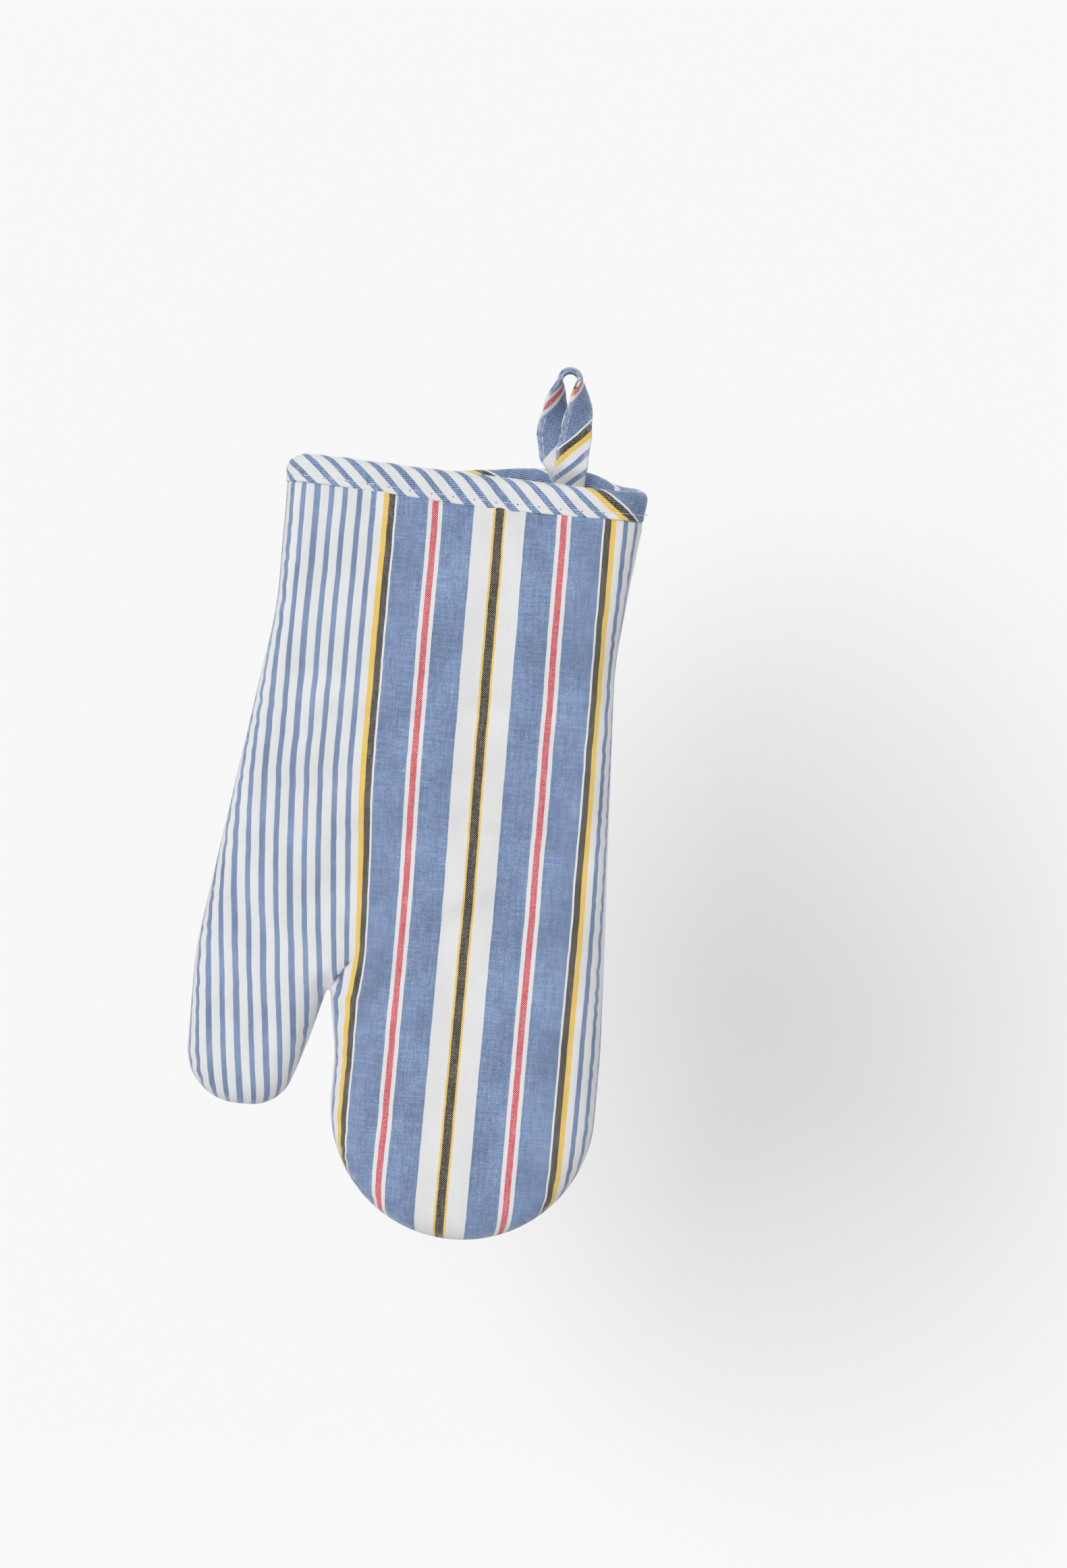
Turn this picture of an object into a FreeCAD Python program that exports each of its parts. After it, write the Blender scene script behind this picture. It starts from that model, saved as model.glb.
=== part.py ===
"""Quilted oven mitt that hangs from a twisted loop sewn into its cuff.

The mitt is drawn flat in its own frame, with X across the hand, Y through the thickness and Z up
towards the cuff. The reference line X = 0 runs along the middle stripe of the cloth, and Z = 0 is
where that line meets the cuff edge. The finished mitt is then tilted and hung below the loop.
The origin of the finished part is the point inside the crown of the loop that rests on its hook.
"""
import FreeCAD, Part
import math
import os

V = FreeCAD.Vector
ACROSS = V(1, 0, 0)
THROUGH = V(0, 1, 0)

# Cloth and filling, millimetres
OUTER_THICKNESS = 0.6
WADDING_THICKNESS = 4.2
LINING_THICKNESS = 0.5
BINDING_THICKNESS = 0.9
THREAD_RADIUS = 0.3
SEAM_INSET = 1.8

# Section through the padded mitt
HALF_DEPTH = 13.0
EDGE_RADIUS = 12.0

# Flat outline of the mitt
CUFF_LEFT = 90.5
CUFF_RIGHT = 61.3
CUFF_SLANT = 2.1
PALM_LENGTH = 218.8
FINGER_LENGTH = 104.6
THUMB_LENGTH = 54.9
HAND_WIDTH = 112.0
HAND_OFFSET = 6.0
CROTCH_STEP = 4.8
CROTCH_RADIUS = 1.6
HAND_SHOULDER = 30.0
THUMB_WIDTH = 57.5
THUMB_TIP_WIDTH = 40.5
THUMB_OUTER_RADIUS = 23.0
THUMB_INNER_RADIUS = 17.0
WRIST_DEPTH = 62.0
THUMB_ROOT = 9.0
WAIST_DEPTH = 76.0
WAIST_IN = 8.0
HIP_BELOW_CROTCH = 20.0
SIDE_BEND_RADIUS = 150.0

# Binding round the mouth
BINDING_LEAF = 12.0
STITCH_LENGTH = 2.2
STITCH_PITCH = 3.6
STITCH_MARGIN = 2.5

# Hanging loop
LOOP_WIDTH = 14.0
LOOP_THICKNESS = 2.0
LOOP_GAP = 0.2
LOOP_DROP = 47.3
LOOP_LEAN = -1.0
LOOP_SPREAD = 4.8
LOOP_MID_SHIFT = -2.5
HOOK_RADIUS = 3.3
TWIST_START = 4.5
TWIST_SHARE = 0.625
CROSS_SHARE = 0.55
MERGE_SHARE = 0.625
LOOP_ALONG = 27.7
LOOP_STITCH_MARGIN = 2.3
STITCH_STANDOFF = 0.05
TAIL_LENGTH = 14.0
BARTACK_ROWS = (0.45, 0.8)
BARTACK_COUNT = 5
LIP_LIFT = 5.5
LIP_LIFT_LEFT = 55.0
LIP_LIFT_RIGHT = 33.0

# Fold lines and their clearances
FOLD_ANGLE = 60.0
FOLD_CLEARANCE = 0.4
LOOP_FOLD_CLEARANCE = 0.5
FINGER_FOLD_BELOW = 28.2
THUMB_FOLD_BELOW = 11.0
FOLD_SIDE_ROOM = 1.2
THUMB_LEAN = 9.8

# How the mitt hangs
MITT_TILT = 4.92

# Values that follow from the ones above
LAYERS = OUTER_THICKNESS + WADDING_THICKNESS + LINING_THICKNESS
STACK = 2 * LOOP_THICKNESS + LOOP_GAP
LOOP_SWEEP = STACK / 2 + STITCH_STANDOFF + 2 * THREAD_RADIUS
HAND_LEFT = HAND_OFFSET - HAND_WIDTH / 2
HAND_RIGHT = HAND_OFFSET + HAND_WIDTH / 2
CROTCH = HAND_LEFT - CROTCH_STEP
THUMB_LEFT = CROTCH - THUMB_WIDTH
HINGE_RISE = LIP_LIFT + BINDING_THICKNESS + LOOP_SWEEP + LOOP_FOLD_CLEARANCE
REACH = 40.0
CUFF_EXTRA = 45.0


def cuff_line(x):
    """Height of the front lip's cloth edge, which slants a little across the mitt."""
    return -x * math.tan(math.radians(CUFF_SLANT))


def lip_lift(x):
    """How far the back lip is drawn up by the loop at this place."""
    reach = LIP_LIFT_RIGHT if x > LOOP_ALONG else LIP_LIFT_LEFT
    share = abs(x - LOOP_ALONG) / reach
    if share >= 1:
        return 0.0
    return LIP_LIFT * math.cos(share * math.pi / 2) ** 2


def lip_height(x, back):
    return cuff_line(x) + (lip_lift(x) if back else 0.0)


def mitt_corners():
    """Corners of the flat outline, anticlockwise from the cuff's left end: x, z and radius."""
    finger_tip = -(PALM_LENGTH + FINGER_LENGTH)
    thumb_tip = -(PALM_LENGTH + THUMB_LENGTH)
    return [
        (-CUFF_LEFT, CUFF_EXTRA, EDGE_RADIUS + LAYERS),
        (-CUFF_LEFT, -WRIST_DEPTH, SIDE_BEND_RADIUS),
        (THUMB_LEFT, -PALM_LENGTH + THUMB_ROOT, SIDE_BEND_RADIUS),
        (THUMB_LEFT, thumb_tip, THUMB_OUTER_RADIUS),
        (THUMB_LEFT + THUMB_TIP_WIDTH, thumb_tip, THUMB_INNER_RADIUS),
        (CROTCH, -PALM_LENGTH, CROTCH_RADIUS),
        (HAND_LEFT, -PALM_LENGTH - HAND_SHOULDER, SIDE_BEND_RADIUS / 3),
        (HAND_LEFT, finger_tip, HAND_WIDTH / 2),
        (HAND_RIGHT, finger_tip, HAND_WIDTH / 2),
        (HAND_RIGHT, -PALM_LENGTH - HIP_BELOW_CROTCH, SIDE_BEND_RADIUS),
        (HAND_RIGHT - WAIST_IN, -WAIST_DEPTH, SIDE_BEND_RADIUS),
        (CUFF_RIGHT, 0.0, SIDE_BEND_RADIUS / 2),
        (CUFF_RIGHT, CUFF_EXTRA, EDGE_RADIUS + LAYERS),
    ]


def unit(dx, dz):
    length = math.hypot(dx, dz)
    return dx / length, dz / length


def inset_corners(corners, distance):
    """Every side moved inwards by the distance, with the radii that keep the sides parallel."""
    moved = []
    count = len(corners)
    for i, (x, z, radius) in enumerate(corners):
        before = corners[i - 1]
        after = corners[(i + 1) % count]
        ax, az = unit(x - before[0], z - before[1])
        bx, bz = unit(after[0] - x, after[1] - z)
        turn = ax * bz - az * bx
        half = 1 + ax * bx + az * bz
        shift_x = (-az - bz) / half * distance
        shift_z = (ax + bx) / half * distance
        inner_radius = radius - distance if turn > 0 else radius + distance
        moved.append((x + shift_x, z + shift_z, inner_radius))
    return moved


def rounded_wire(corners, y):
    """Closed wire of straight sides joined by tangent arcs, at one depth."""
    starts, ends, arcs = [], [], []
    count = len(corners)
    for i, (x, z, radius) in enumerate(corners):
        before = corners[i - 1]
        after = corners[(i + 1) % count]
        ax, az = unit(x - before[0], z - before[1])
        bx, bz = unit(after[0] - x, after[1] - z)
        turn = math.atan2(ax * bz - az * bx, ax * bx + az * bz)
        run = radius * math.tan(abs(turn) / 2)
        rise = radius / math.cos(turn / 2) - radius
        cx, cz = unit(bx - ax, bz - az)
        start = V(x - ax * run, y, z - az * run)
        end = V(x + bx * run, y, z + bz * run)
        middle = V(x + cx * rise, y, z + cz * rise)
        starts.append(start)
        ends.append(end)
        arcs.append(Part.Arc(start, middle, end).toShape())
    edges = []
    for i in range(count):
        following = (i + 1) % count
        edges.append(arcs[i])
        if ends[i].distanceToPoint(starts[following]) > 1e-3:
            edges.append(Part.LineSegment(ends[i], starts[following]).toShape())
    return Part.Wire(Part.__sortEdges__(edges))


def pillow(inset):
    """The padded outer form, shrunk evenly on every side by the inset."""
    half = HALF_DEPTH - inset
    wire = rounded_wire(inset_corners(mitt_corners(), inset), -half)
    block = Part.Face(wire).extrude(THROUGH * (2 * half))
    rim = [e for e in block.Edges if e.BoundBox.YLength < 1e-3 and abs(abs(e.BoundBox.YMin) - half) < 1e-3]
    return block.makeFillet(EDGE_RADIUS - inset, rim)


def lip_edges(back, offset, y):
    """The top line of one half, from far left to far right, moved up by the offset."""
    def at(x):
        return V(x, y, lip_height(x, back) + offset)
    far_left = -CUFF_LEFT - REACH
    far_right = CUFF_RIGHT + REACH
    if not back:
        return [Part.LineSegment(at(far_left), at(far_right)).toShape()]
    left = LOOP_ALONG - LIP_LIFT_LEFT
    right = LOOP_ALONG + LIP_LIFT_RIGHT
    steps = 12
    spline = Part.BSplineCurve()
    spline.interpolate([at(left + (right - left) * i / steps) for i in range(steps + 1)])
    return [
        Part.LineSegment(at(far_left), at(left)).toShape(),
        spline.toShape(),
        Part.LineSegment(at(right), at(far_right)).toShape(),
    ]


def below_lip(back, offset=0.0):
    """Everything in one half, front or back of the side seam, that lies below its top line."""
    y0 = 0.0 if back else -REACH
    edges = lip_edges(back, offset, y0)
    first = edges[0].Vertexes[0].Point
    last = edges[-1].Vertexes[-1].Point
    floor = -(PALM_LENGTH + FINGER_LENGTH + REACH)
    corners = [last, V(last.x, y0, floor), V(first.x, y0, floor), first]
    edges += [Part.LineSegment(corners[i], corners[i + 1]).toShape() for i in range(3)]
    return Part.Face(Part.Wire(Part.__sortEdges__(edges))).extrude(THROUGH * REACH)


def fold_block(place, lean, left, right, near):
    """What lies past a fold line, as a block with a V-shaped top that leaves room to bend.

    The line runs across the mitt through the place given and the block points down from it. With
    near the block also takes the room on the cuff's side of the line.
    """
    slope = math.tan(math.radians(FOLD_ANGLE / 2))
    top = FOLD_CLEARANCE if near else -FOLD_CLEARANCE
    side = top + REACH * slope if near else top - REACH * slope
    floor = -(FINGER_LENGTH + REACH)
    profile = [V(left, 0, top), V(left, REACH, side), V(left, REACH, floor),
               V(left, -REACH, floor), V(left, -REACH, side), V(left, 0, top)]
    block = Part.Face(Part.makePolygon(profile)).extrude(ACROSS * (right - left))
    block.rotate(V(0, 0, 0), THROUGH, lean)
    block.translate(V(place[0], 0, place[1]))
    return block


def finger_fold():
    return (HAND_OFFSET, -PALM_LENGTH - FINGER_FOLD_BELOW)


def thumb_fold():
    return (CROTCH - THUMB_WIDTH / 2, -PALM_LENGTH - THUMB_FOLD_BELOW)


def finger_block(near):
    left = CROTCH - FOLD_SIDE_ROOM - HAND_OFFSET
    return fold_block(finger_fold(), 0.0, left, HAND_WIDTH, near)


def thumb_block(near):
    return fold_block(thumb_fold(), THUMB_LEAN, -HAND_WIDTH, THUMB_WIDTH / 2 - CROTCH_RADIUS, near)


def split_at_folds(shape):
    """The palm, finger and thumb stretches of one layer."""
    return {
        "palm": shape.cut(finger_block(True)).cut(thumb_block(True)),
        "fingers": shape.common(finger_block(False)),
        "thumb": shape.common(thumb_block(False)),
    }


def layer(outside, inside, back):
    """One half of one layer, between two insets, open at the cuff."""
    shell = pillow(outside).cut(pillow(inside))
    return shell.common(below_lip(back))


def seam_ring():
    """Sewing thread that runs round the mitt inside the wadding, on the middle plane."""
    rings = []
    for inset in (SEAM_INSET, SEAM_INSET + 2 * THREAD_RADIUS):
        wire = rounded_wire(inset_corners(mitt_corners(), inset), -THREAD_RADIUS)
        rings.append(Part.Face(wire).extrude(THROUGH * (2 * THREAD_RADIUS)))
    ring = rings[0].cut(rings[1])
    halves = [ring.common(below_lip(back, -BINDING_LEAF)) for back in (False, True)]
    return halves[0].fuse(halves[1]).removeSplitter()


def binding_half(back):
    """One half of the folded strip over the cuff edge: outer leaf, rounded top and inner leaf."""
    whole = pillow(-BINDING_THICKNESS).cut(pillow(LAYERS + BINDING_THICKNESS))
    band = whole.common(below_lip(back, BINDING_THICKNESS)).cut(below_lip(back, -BINDING_LEAF))
    cloth = pillow(0.0).cut(pillow(LAYERS)).common(below_lip(back))
    return band.cut(cloth)


def cuff_binding():
    return binding_half(False).fuse(binding_half(True)).removeSplitter()


def stitch(start, end, radius=THREAD_RADIUS):
    along = end - start
    return Part.makeCylinder(radius, along.Length, start, along)


def binding_stitching():
    """Top-stitches along the lower edge of the binding, on the front and on the back."""
    stitches = []
    for back in (False, True):
        side = 1 if back else -1
        y = side * (HALF_DEPTH + BINDING_THICKNESS + THREAD_RADIUS)
        x = -CUFF_LEFT + EDGE_RADIUS + STITCH_PITCH
        while x + STITCH_LENGTH < CUFF_RIGHT - EDGE_RADIUS:
            drop = BINDING_LEAF - STITCH_MARGIN
            start = V(x, y, lip_height(x, back) - drop)
            end = V(x + STITCH_LENGTH, y, lip_height(x + STITCH_LENGTH, back) - drop)
            stitches.append(stitch(start, end))
            x += STITCH_PITCH
    return Part.makeCompound(stitches)


def hang(shape):
    """Tilt the finished mitt and hang it below the loop."""
    hung = shape.copy()
    hung.rotate(V(0, 0, 0), THROUGH, MITT_TILT)
    hung.translate(mitt_place())
    return hung


def mitt_place():
    """Where the mitt's own zero point goes, so that its loop point lies under the hook."""
    turn = FreeCAD.Rotation(THROUGH, MITT_TILT)
    loop_point = turn.multVec(V(LOOP_ALONG, 0, cuff_line(LOOP_ALONG)))
    return V(LOOP_LEAN, 0, -LOOP_DROP) - loop_point


def cuff_direction():
    """Unit vector along the hanging cuff, from left to right."""
    slope = math.radians(MITT_TILT + CUFF_SLANT)
    return V(math.cos(slope), 0, -math.sin(slope))


def smooth(share):
    share = min(max(share, 0.0), 1.0)
    return share * share * (3 - 2 * share)


def strand_section(side, drop):
    """Middle, width direction and outward direction of one strand at a distance below the hook.

    Side is -1 for the left strand and 1 for the right one. The strands turn together from edge on
    at the hook to flat at the cuff, where the right one lies in front of the left one.
    """
    base = LOOP_DROP - HINGE_RISE
    share = (drop - TWIST_START) / (base - TWIST_START)
    turned = smooth(share)
    spread = (HOOK_RADIUS + LOOP_THICKNESS / 2) * (1 - turned) + LOOP_SPREAD * turned
    spread *= 1 - smooth((share - 1) / MERGE_SHARE + 1)
    middle = LOOP_MID_SHIFT * math.sin(math.pi * min(max(share, 0), 1)) + LOOP_LEAN * turned
    stack = (LOOP_THICKNESS + LOOP_GAP) / 2 * smooth(share / CROSS_SHARE)
    angle = math.radians(90) * smooth(share / TWIST_SHARE)
    flat = cuff_direction()
    width = flat * math.sin(angle) + THROUGH * math.cos(angle)
    outward = (ACROSS * math.cos(angle) - THROUGH * math.sin(angle)) * side
    place = V(middle + side * spread, -side * stack, -drop)
    return place, width, outward


def crown_section(angle):
    """The same three vectors on the round crown, which goes over the hook."""
    outward = V(math.cos(angle), 0, math.sin(angle))
    centre = V(0, 0, -HOOK_RADIUS)
    return centre + outward * (HOOK_RADIUS + LOOP_THICKNESS / 2), THROUGH, outward


def loop_sections():
    """Sections of the strip from the left strand's foot, over the crown, to the right foot."""
    foot = LOOP_DROP - HINGE_RISE - FOLD_CLEARANCE
    steps = 14
    drops = [HOOK_RADIUS + (foot - HOOK_RADIUS) * i / steps for i in range(1, steps + 1)]
    left = [strand_section(-1, drop) for drop in reversed(drops)]
    crown = [crown_section(math.pi * (1 - i / 8)) for i in range(9)]
    right = [strand_section(1, drop) for drop in drops]
    return left + crown + right


def ribbon_outline(place, width, outward, wide, thick):
    corners = []
    for across, out in ((-1, -1), (1, -1), (1, 1), (-1, 1)):
        corners.append(place + width * (across * wide / 2) + outward * (out * thick / 2))
    return Part.makePolygon(corners + corners[:1])


def hanging_loop():
    wires = [ribbon_outline(p, w, o, LOOP_WIDTH, LOOP_THICKNESS) for p, w, o in loop_sections()]
    return Part.makeLoft(wires, True, True)


def loop_edge_stitching():
    """The row of stitches that closes the folded strip, on its outward face."""
    out = LOOP_THICKNESS / 2 + THREAD_RADIUS + STITCH_STANDOFF
    across = LOOP_WIDTH / 2 - LOOP_STITCH_MARGIN
    line = [p - w * across + o * out for p, w, o in loop_sections()]
    stitches = []
    for start, end in zip(line, line[1:]):
        along = end - start
        if along.Length > STITCH_LENGTH * 0.8:
            stitches.append(stitch(start + along * 0.15, end - along * 0.15))
    return Part.makeCompound(stitches)


def loop_tail():
    """The two ends of the strip below the fold: they lean back to the lip and run down inside it."""
    inner_wall = HALF_DEPTH - LAYERS - BINDING_THICKNESS
    lip = V(LOOP_LEAN, 0, -LOOP_DROP)
    flat = cuff_direction()
    down = V(flat.z, 0, -flat.x)
    back = inner_wall - STACK / 2
    places = [
        lip - down * (HINGE_RISE - LOOP_SWEEP - FOLD_CLEARANCE),
        lip + down * 1.0 + THROUGH * back,
        lip + down * TAIL_LENGTH + THROUGH * back,
    ]
    wires = [ribbon_outline(place, flat, THROUGH, LOOP_WIDTH, STACK) for place in places]
    return Part.makeLoft(wires, True, True)


def loop_bartack():
    """Two close rows of stitches that hold the tail to the inside of the back lip."""
    lip = V(LOOP_LEAN, 0, -LOOP_DROP)
    flat = cuff_direction()
    down = V(flat.z, 0, -flat.x)
    face = HALF_DEPTH - LAYERS - BINDING_THICKNESS - STACK - THREAD_RADIUS
    stitches = []
    pitch = LOOP_WIDTH / (BARTACK_COUNT + 0.5)
    for row in BARTACK_ROWS:
        for i in range(BARTACK_COUNT):
            across = -LOOP_WIDTH / 2 + pitch * (i + 0.5)
            start = lip + down * (TAIL_LENGTH * row) + flat * across + THROUGH * face
            stitches.append(stitch(start, start + flat * (pitch * 0.7)))
    return Part.makeCompound(stitches)


def build():
    """Every sub-part of the mitt, by name."""
    parts = {"hanging_loop": hanging_loop(), "loop_edge_stitching": loop_edge_stitching()}
    ring = seam_ring()
    layers = {
        "outer": (0.0, OUTER_THICKNESS),
        "wadding": (OUTER_THICKNESS, OUTER_THICKNESS + WADDING_THICKNESS),
        "lining": (OUTER_THICKNESS + WADDING_THICKNESS, LAYERS),
    }
    for name, (outside, inside) in layers.items():
        for side, back in (("front", False), ("back", True)):
            shape = layer(outside, inside, back)
            if name == "wadding":
                shape = shape.cut(ring)
            for stretch, piece in split_at_folds(shape).items():
                parts[name + "_" + side + "_" + stretch] = hang(piece)
    for stretch, piece in split_at_folds(ring).items():
        parts["side_seam_thread_" + stretch] = hang(piece)
    parts["cuff_binding"] = hang(cuff_binding())
    parts["binding_stitching"] = hang(binding_stitching())
    parts["loop_tail"] = loop_tail()
    parts["loop_bartack"] = loop_bartack()
    return parts


def main():
    os.makedirs("parts", exist_ok=True)
    for name, shape in build().items():
        print(name, "solids", len(shape.Solids), "volume", round(shape.Volume, 1), "valid", shape.isValid())
        shape.exportStep("parts/" + name + ".step")
    turn = FreeCAD.Rotation(THROUGH, MITT_TILT)
    for label, place in (("finger fold", finger_fold()), ("thumb fold", thumb_fold())):
        print(label, "at", turn.multVec(V(place[0], 0, place[1])) + mitt_place())
    print("loop fold at", V(LOOP_LEAN, 0, -LOOP_DROP + HINGE_RISE), "along", cuff_direction())


main()
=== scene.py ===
"""Striped oven mitt hung by its twisted loop: looks, soft meshes, light and camera.

Lengths in the mesh code are millimetres in the mitt's own flat frame, which has u across the
hand, y through the thickness and w up towards the cuff. hang() turns them into metres in the
row frame.
"""
import math
import bmesh
import bpy
import numpy as np
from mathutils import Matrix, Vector, kdtree, noise
from mathutils.geometry import delaunay_2d_cdt


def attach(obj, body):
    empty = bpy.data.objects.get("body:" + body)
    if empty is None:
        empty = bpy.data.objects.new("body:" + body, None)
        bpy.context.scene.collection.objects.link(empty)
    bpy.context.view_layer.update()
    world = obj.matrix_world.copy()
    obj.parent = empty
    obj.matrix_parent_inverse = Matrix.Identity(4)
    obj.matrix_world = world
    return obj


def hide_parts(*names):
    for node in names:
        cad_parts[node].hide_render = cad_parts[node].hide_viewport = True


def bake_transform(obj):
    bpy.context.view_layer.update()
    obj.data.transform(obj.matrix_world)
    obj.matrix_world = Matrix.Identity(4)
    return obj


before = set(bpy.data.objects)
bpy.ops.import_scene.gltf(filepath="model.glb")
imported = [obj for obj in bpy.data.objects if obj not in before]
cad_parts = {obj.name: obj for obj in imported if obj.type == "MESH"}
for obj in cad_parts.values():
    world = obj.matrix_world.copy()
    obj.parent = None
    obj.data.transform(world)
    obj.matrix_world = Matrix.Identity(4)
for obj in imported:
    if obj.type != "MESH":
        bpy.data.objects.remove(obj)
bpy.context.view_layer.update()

# A millimetre in the row frame's metres
MM = 0.001

# The mitt's outline and thickness, as in the CAD model
TILT = math.radians(4.92)
CUFF_SLANT = math.radians(2.1)
LOOP_ALONG = 27.7
LOOP_FOOT = (-1.0, -47.3)
HALF_DEPTH = 13.0
EDGE_RADIUS = 12.0
CUFF_LEFT = 90.5
CUFF_RIGHT = 61.3
PALM_LENGTH = 218.8
FINGER_TIP = -323.4
THUMB_TIP = -273.7
HAND_LEFT = -50.0
HAND_RIGHT = 62.0
CROTCH_U = -54.8
THUMB_LEFT = -112.3
STACK = 5.3

# Outer and inner depth of each layer under the mitt's face, and its slot. The layers stand a little
# apart, where the CAD model's touch
LAYERS = {
    "outer": (0.0, 0.5, "outer_cloth"), "wadding": (0.75, 4.75, "wadding"),
    "lining": (4.9, STACK, "lining_cloth"),
}
# How far the back lip stands up, which is 5.5 in the CAD model, and the layers' end below the lip
LIP_LIFT = 8.0
EDGE_BELOW_LIP = 3.0

# Spacing of the skin's points: fine for the outer cloth, coarse for the hidden layers
FINE_STEP = 3.0
COARSE_STEP = 5.0

# How the padded form settles as cloth: pressure, looseness, stiffness, steps, the most it moves,
# and the share of its sideways movement that is kept
SETTLE_PRESSURE = 1.5
SETTLE_EASE = 0.03
SETTLE_BENDING = 0.2
SETTLE_STEPS = 20
SETTLE_LIMIT = 2.2
SETTLE_SIDEWAYS = 0.4

# The stripes, from the middle of the cloth outwards: where each ends and its colour
STRIPES = (
    (1.45, "black"), (2.4, "yellow"), (11.0, "white"), (24.2, "blue"), (25.7, "white"),
    (28.6, "red"), (30.1, "white"), (43.4, "blue"), (44.6, "white"), (47.0, "black"),
    (49.1, "yellow"), (52.2, "white"),
)
PIN_WIDTH = 2.35
PIN_PERIOD = 5.92
# Each stripe's colour as a whole, and the colour of the weft that shows between its warp threads
COLOURS = {
    "white": ((230, 230, 231), (234, 234, 235)), "blue": ((127, 147, 182), (174, 193, 226)),
    "black": ((97, 93, 89), (184, 178, 170)), "red": ((221, 134, 140), (252, 206, 213)),
    "yellow": ((238, 201, 104), (246, 226, 168)),
}
# Fineness along u and v of the yarn's wobble, thick places in the weft, streaks in the warp,
# faded blotches, fuzz and worn patches
WOBBLE = (0.05, 0.12)
SLUB = (0.73, 0.11)
STREAK = (0.61, 0.09)
BLOTCH = (0.055, 0.035)
FUZZ = (2.2, 2.2)
WORN = (0.35, 0.35)
# Rubbed edges, flecks in the weft, and the painted shade of the needle holes
WORN_COLOUR = (212, 219, 232)
WORN_REACH = 3.4
FLECK_COLOUR = (238, 241, 246)
HOLE_SHADE_COLOUR = (84, 92, 108)
# Width of a thread, and the share of the cloth that the warp covers
THREAD = 0.44
WARP_OVER = 0.655
# The black yarn is thicker, so it covers more of its stripe
BLACK_OVER = 0.75


# ---------------------------------------------------------------- small helpers

def smooth(t):
    t = np.clip(t, 0.0, 1.0)
    return t * t * (3 - 2 * t)


def linear(rgb):
    return tuple(c / 255 / 12.92 if c < 11 else ((c / 255 + 0.055) / 1.055) ** 2.4 for c in rgb)


def wave(x, y=0.0, z=0.0):
    """Smooth noise from about -1 to 1, the same on every run."""
    return noise.noise(Vector((x, y, z)))


def waves(points, scale, seed=0.0):
    return np.array([wave(p[0] / scale, p[1] / scale, seed) for p in points])


def mitt_place():
    c, s = math.cos(TILT), math.sin(TILT)
    w = -LOOP_ALONG * math.tan(CUFF_SLANT)
    return LOOP_FOOT[0] - (LOOP_ALONG * c + w * s), LOOP_FOOT[1] - (w * c - LOOP_ALONG * s)


PLACE = mitt_place()


def lean(vectors):
    """Turns directions of the flat frame by the angle at which the mitt hangs."""
    v = np.asarray(vectors, float)
    c, s = math.cos(TILT), math.sin(TILT)
    return np.stack([v[..., 0] * c + v[..., 2] * s, v[..., 1], v[..., 2] * c - v[..., 0] * s], axis=-1)


def hang(points):
    """Flat frame in millimetres to row frame in metres."""
    return (lean(points) + (PLACE[0], 0, PLACE[1])) * MM


def cuff_line(u):
    return -np.asarray(u, float) * math.tan(CUFF_SLANT)


def lip_height(u, back):
    """The cuff's edge; the back lip stands up round the loop, which carries the mitt there."""
    u = np.asarray(u, float)
    line = cuff_line(u)
    if not back:
        return line
    return line + LIP_LIFT * smooth((u + 42) / 72) * (1 - 0.72 * smooth((u - 34) / 22))


def corner_shape(u):
    """The folded top drops at the mouth's left corner and puffs a little at its right one."""
    return 1.3 * np.exp(-((u - 57) / 7) ** 2) - 2.4 * smooth((-82 - u) / 9) ** 2


def cloth_edge(u, back):
    """Height at which the layers end inside the binding's fold."""
    return lip_height(u, back) - EDGE_BELOW_LIP + np.minimum(corner_shape(u), 0)


def add_uvs(mesh, name, uvs):
    """A UV layer from one pair for each point or for each face corner."""
    layer = mesh.uv_layers.new(name=name)
    index = np.zeros(len(mesh.loops), np.int64)
    mesh.loops.foreach_get("vertex_index", index)
    values = np.asarray(uvs, float)
    values = values[index] if len(values) == len(mesh.vertices) else values
    layer.data.foreach_set("uv", values.astype(np.float32).ravel())


def add_object(name, data):
    obj = bpy.data.objects.new(name, data)
    bpy.context.scene.collection.objects.link(obj)
    return obj


def new_mesh(name, verts, faces, material, cloth=None, strip=None, normals=None):
    """An object from points in metres. cloth and strip are UV layers: place on the cloth, and place
    along and from an edge."""
    mesh = bpy.data.meshes.new(name)
    mesh.from_pydata([tuple(v) for v in verts], [], [tuple(f) for f in faces])
    mesh.update()
    mesh.shade_smooth()
    for layer, uvs in (("cloth", cloth), ("strip", strip)):
        if uvs is not None:
            add_uvs(mesh, layer, uvs)
    if normals is not None:
        mesh.normals_split_custom_set_from_vertices([tuple(n) for n in normals])
    mesh.materials.append(material)
    return add_object(name, mesh)


def search_tree(places):
    """A search tree over pairs of an index and a flat or solid point."""
    places = list(places)
    tree = kdtree.KDTree(len(places))
    for i, p in places:
        tree.insert(Vector(p).to_3d(), int(i))
    tree.balance()
    return tree


def run_lengths(points):
    """Length along a line of points up to each of them."""
    return np.concatenate([[0], np.cumsum(np.linalg.norm(np.diff(points, axis=0), axis=1))])


def ring_quads(rows, size, closed=False):
    """Quads between successive rings of points, each with the ring and place of its four corners."""
    for j in range(rows if closed else rows - 1):
        k = (j + 1) % rows
        for a in range(size):
            b = (a + 1) % size
            quad = (j * size + a, j * size + b, k * size + b, k * size + a)
            yield quad, ((j, a), (j, b), (j + 1, b), (j + 1, a))


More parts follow.
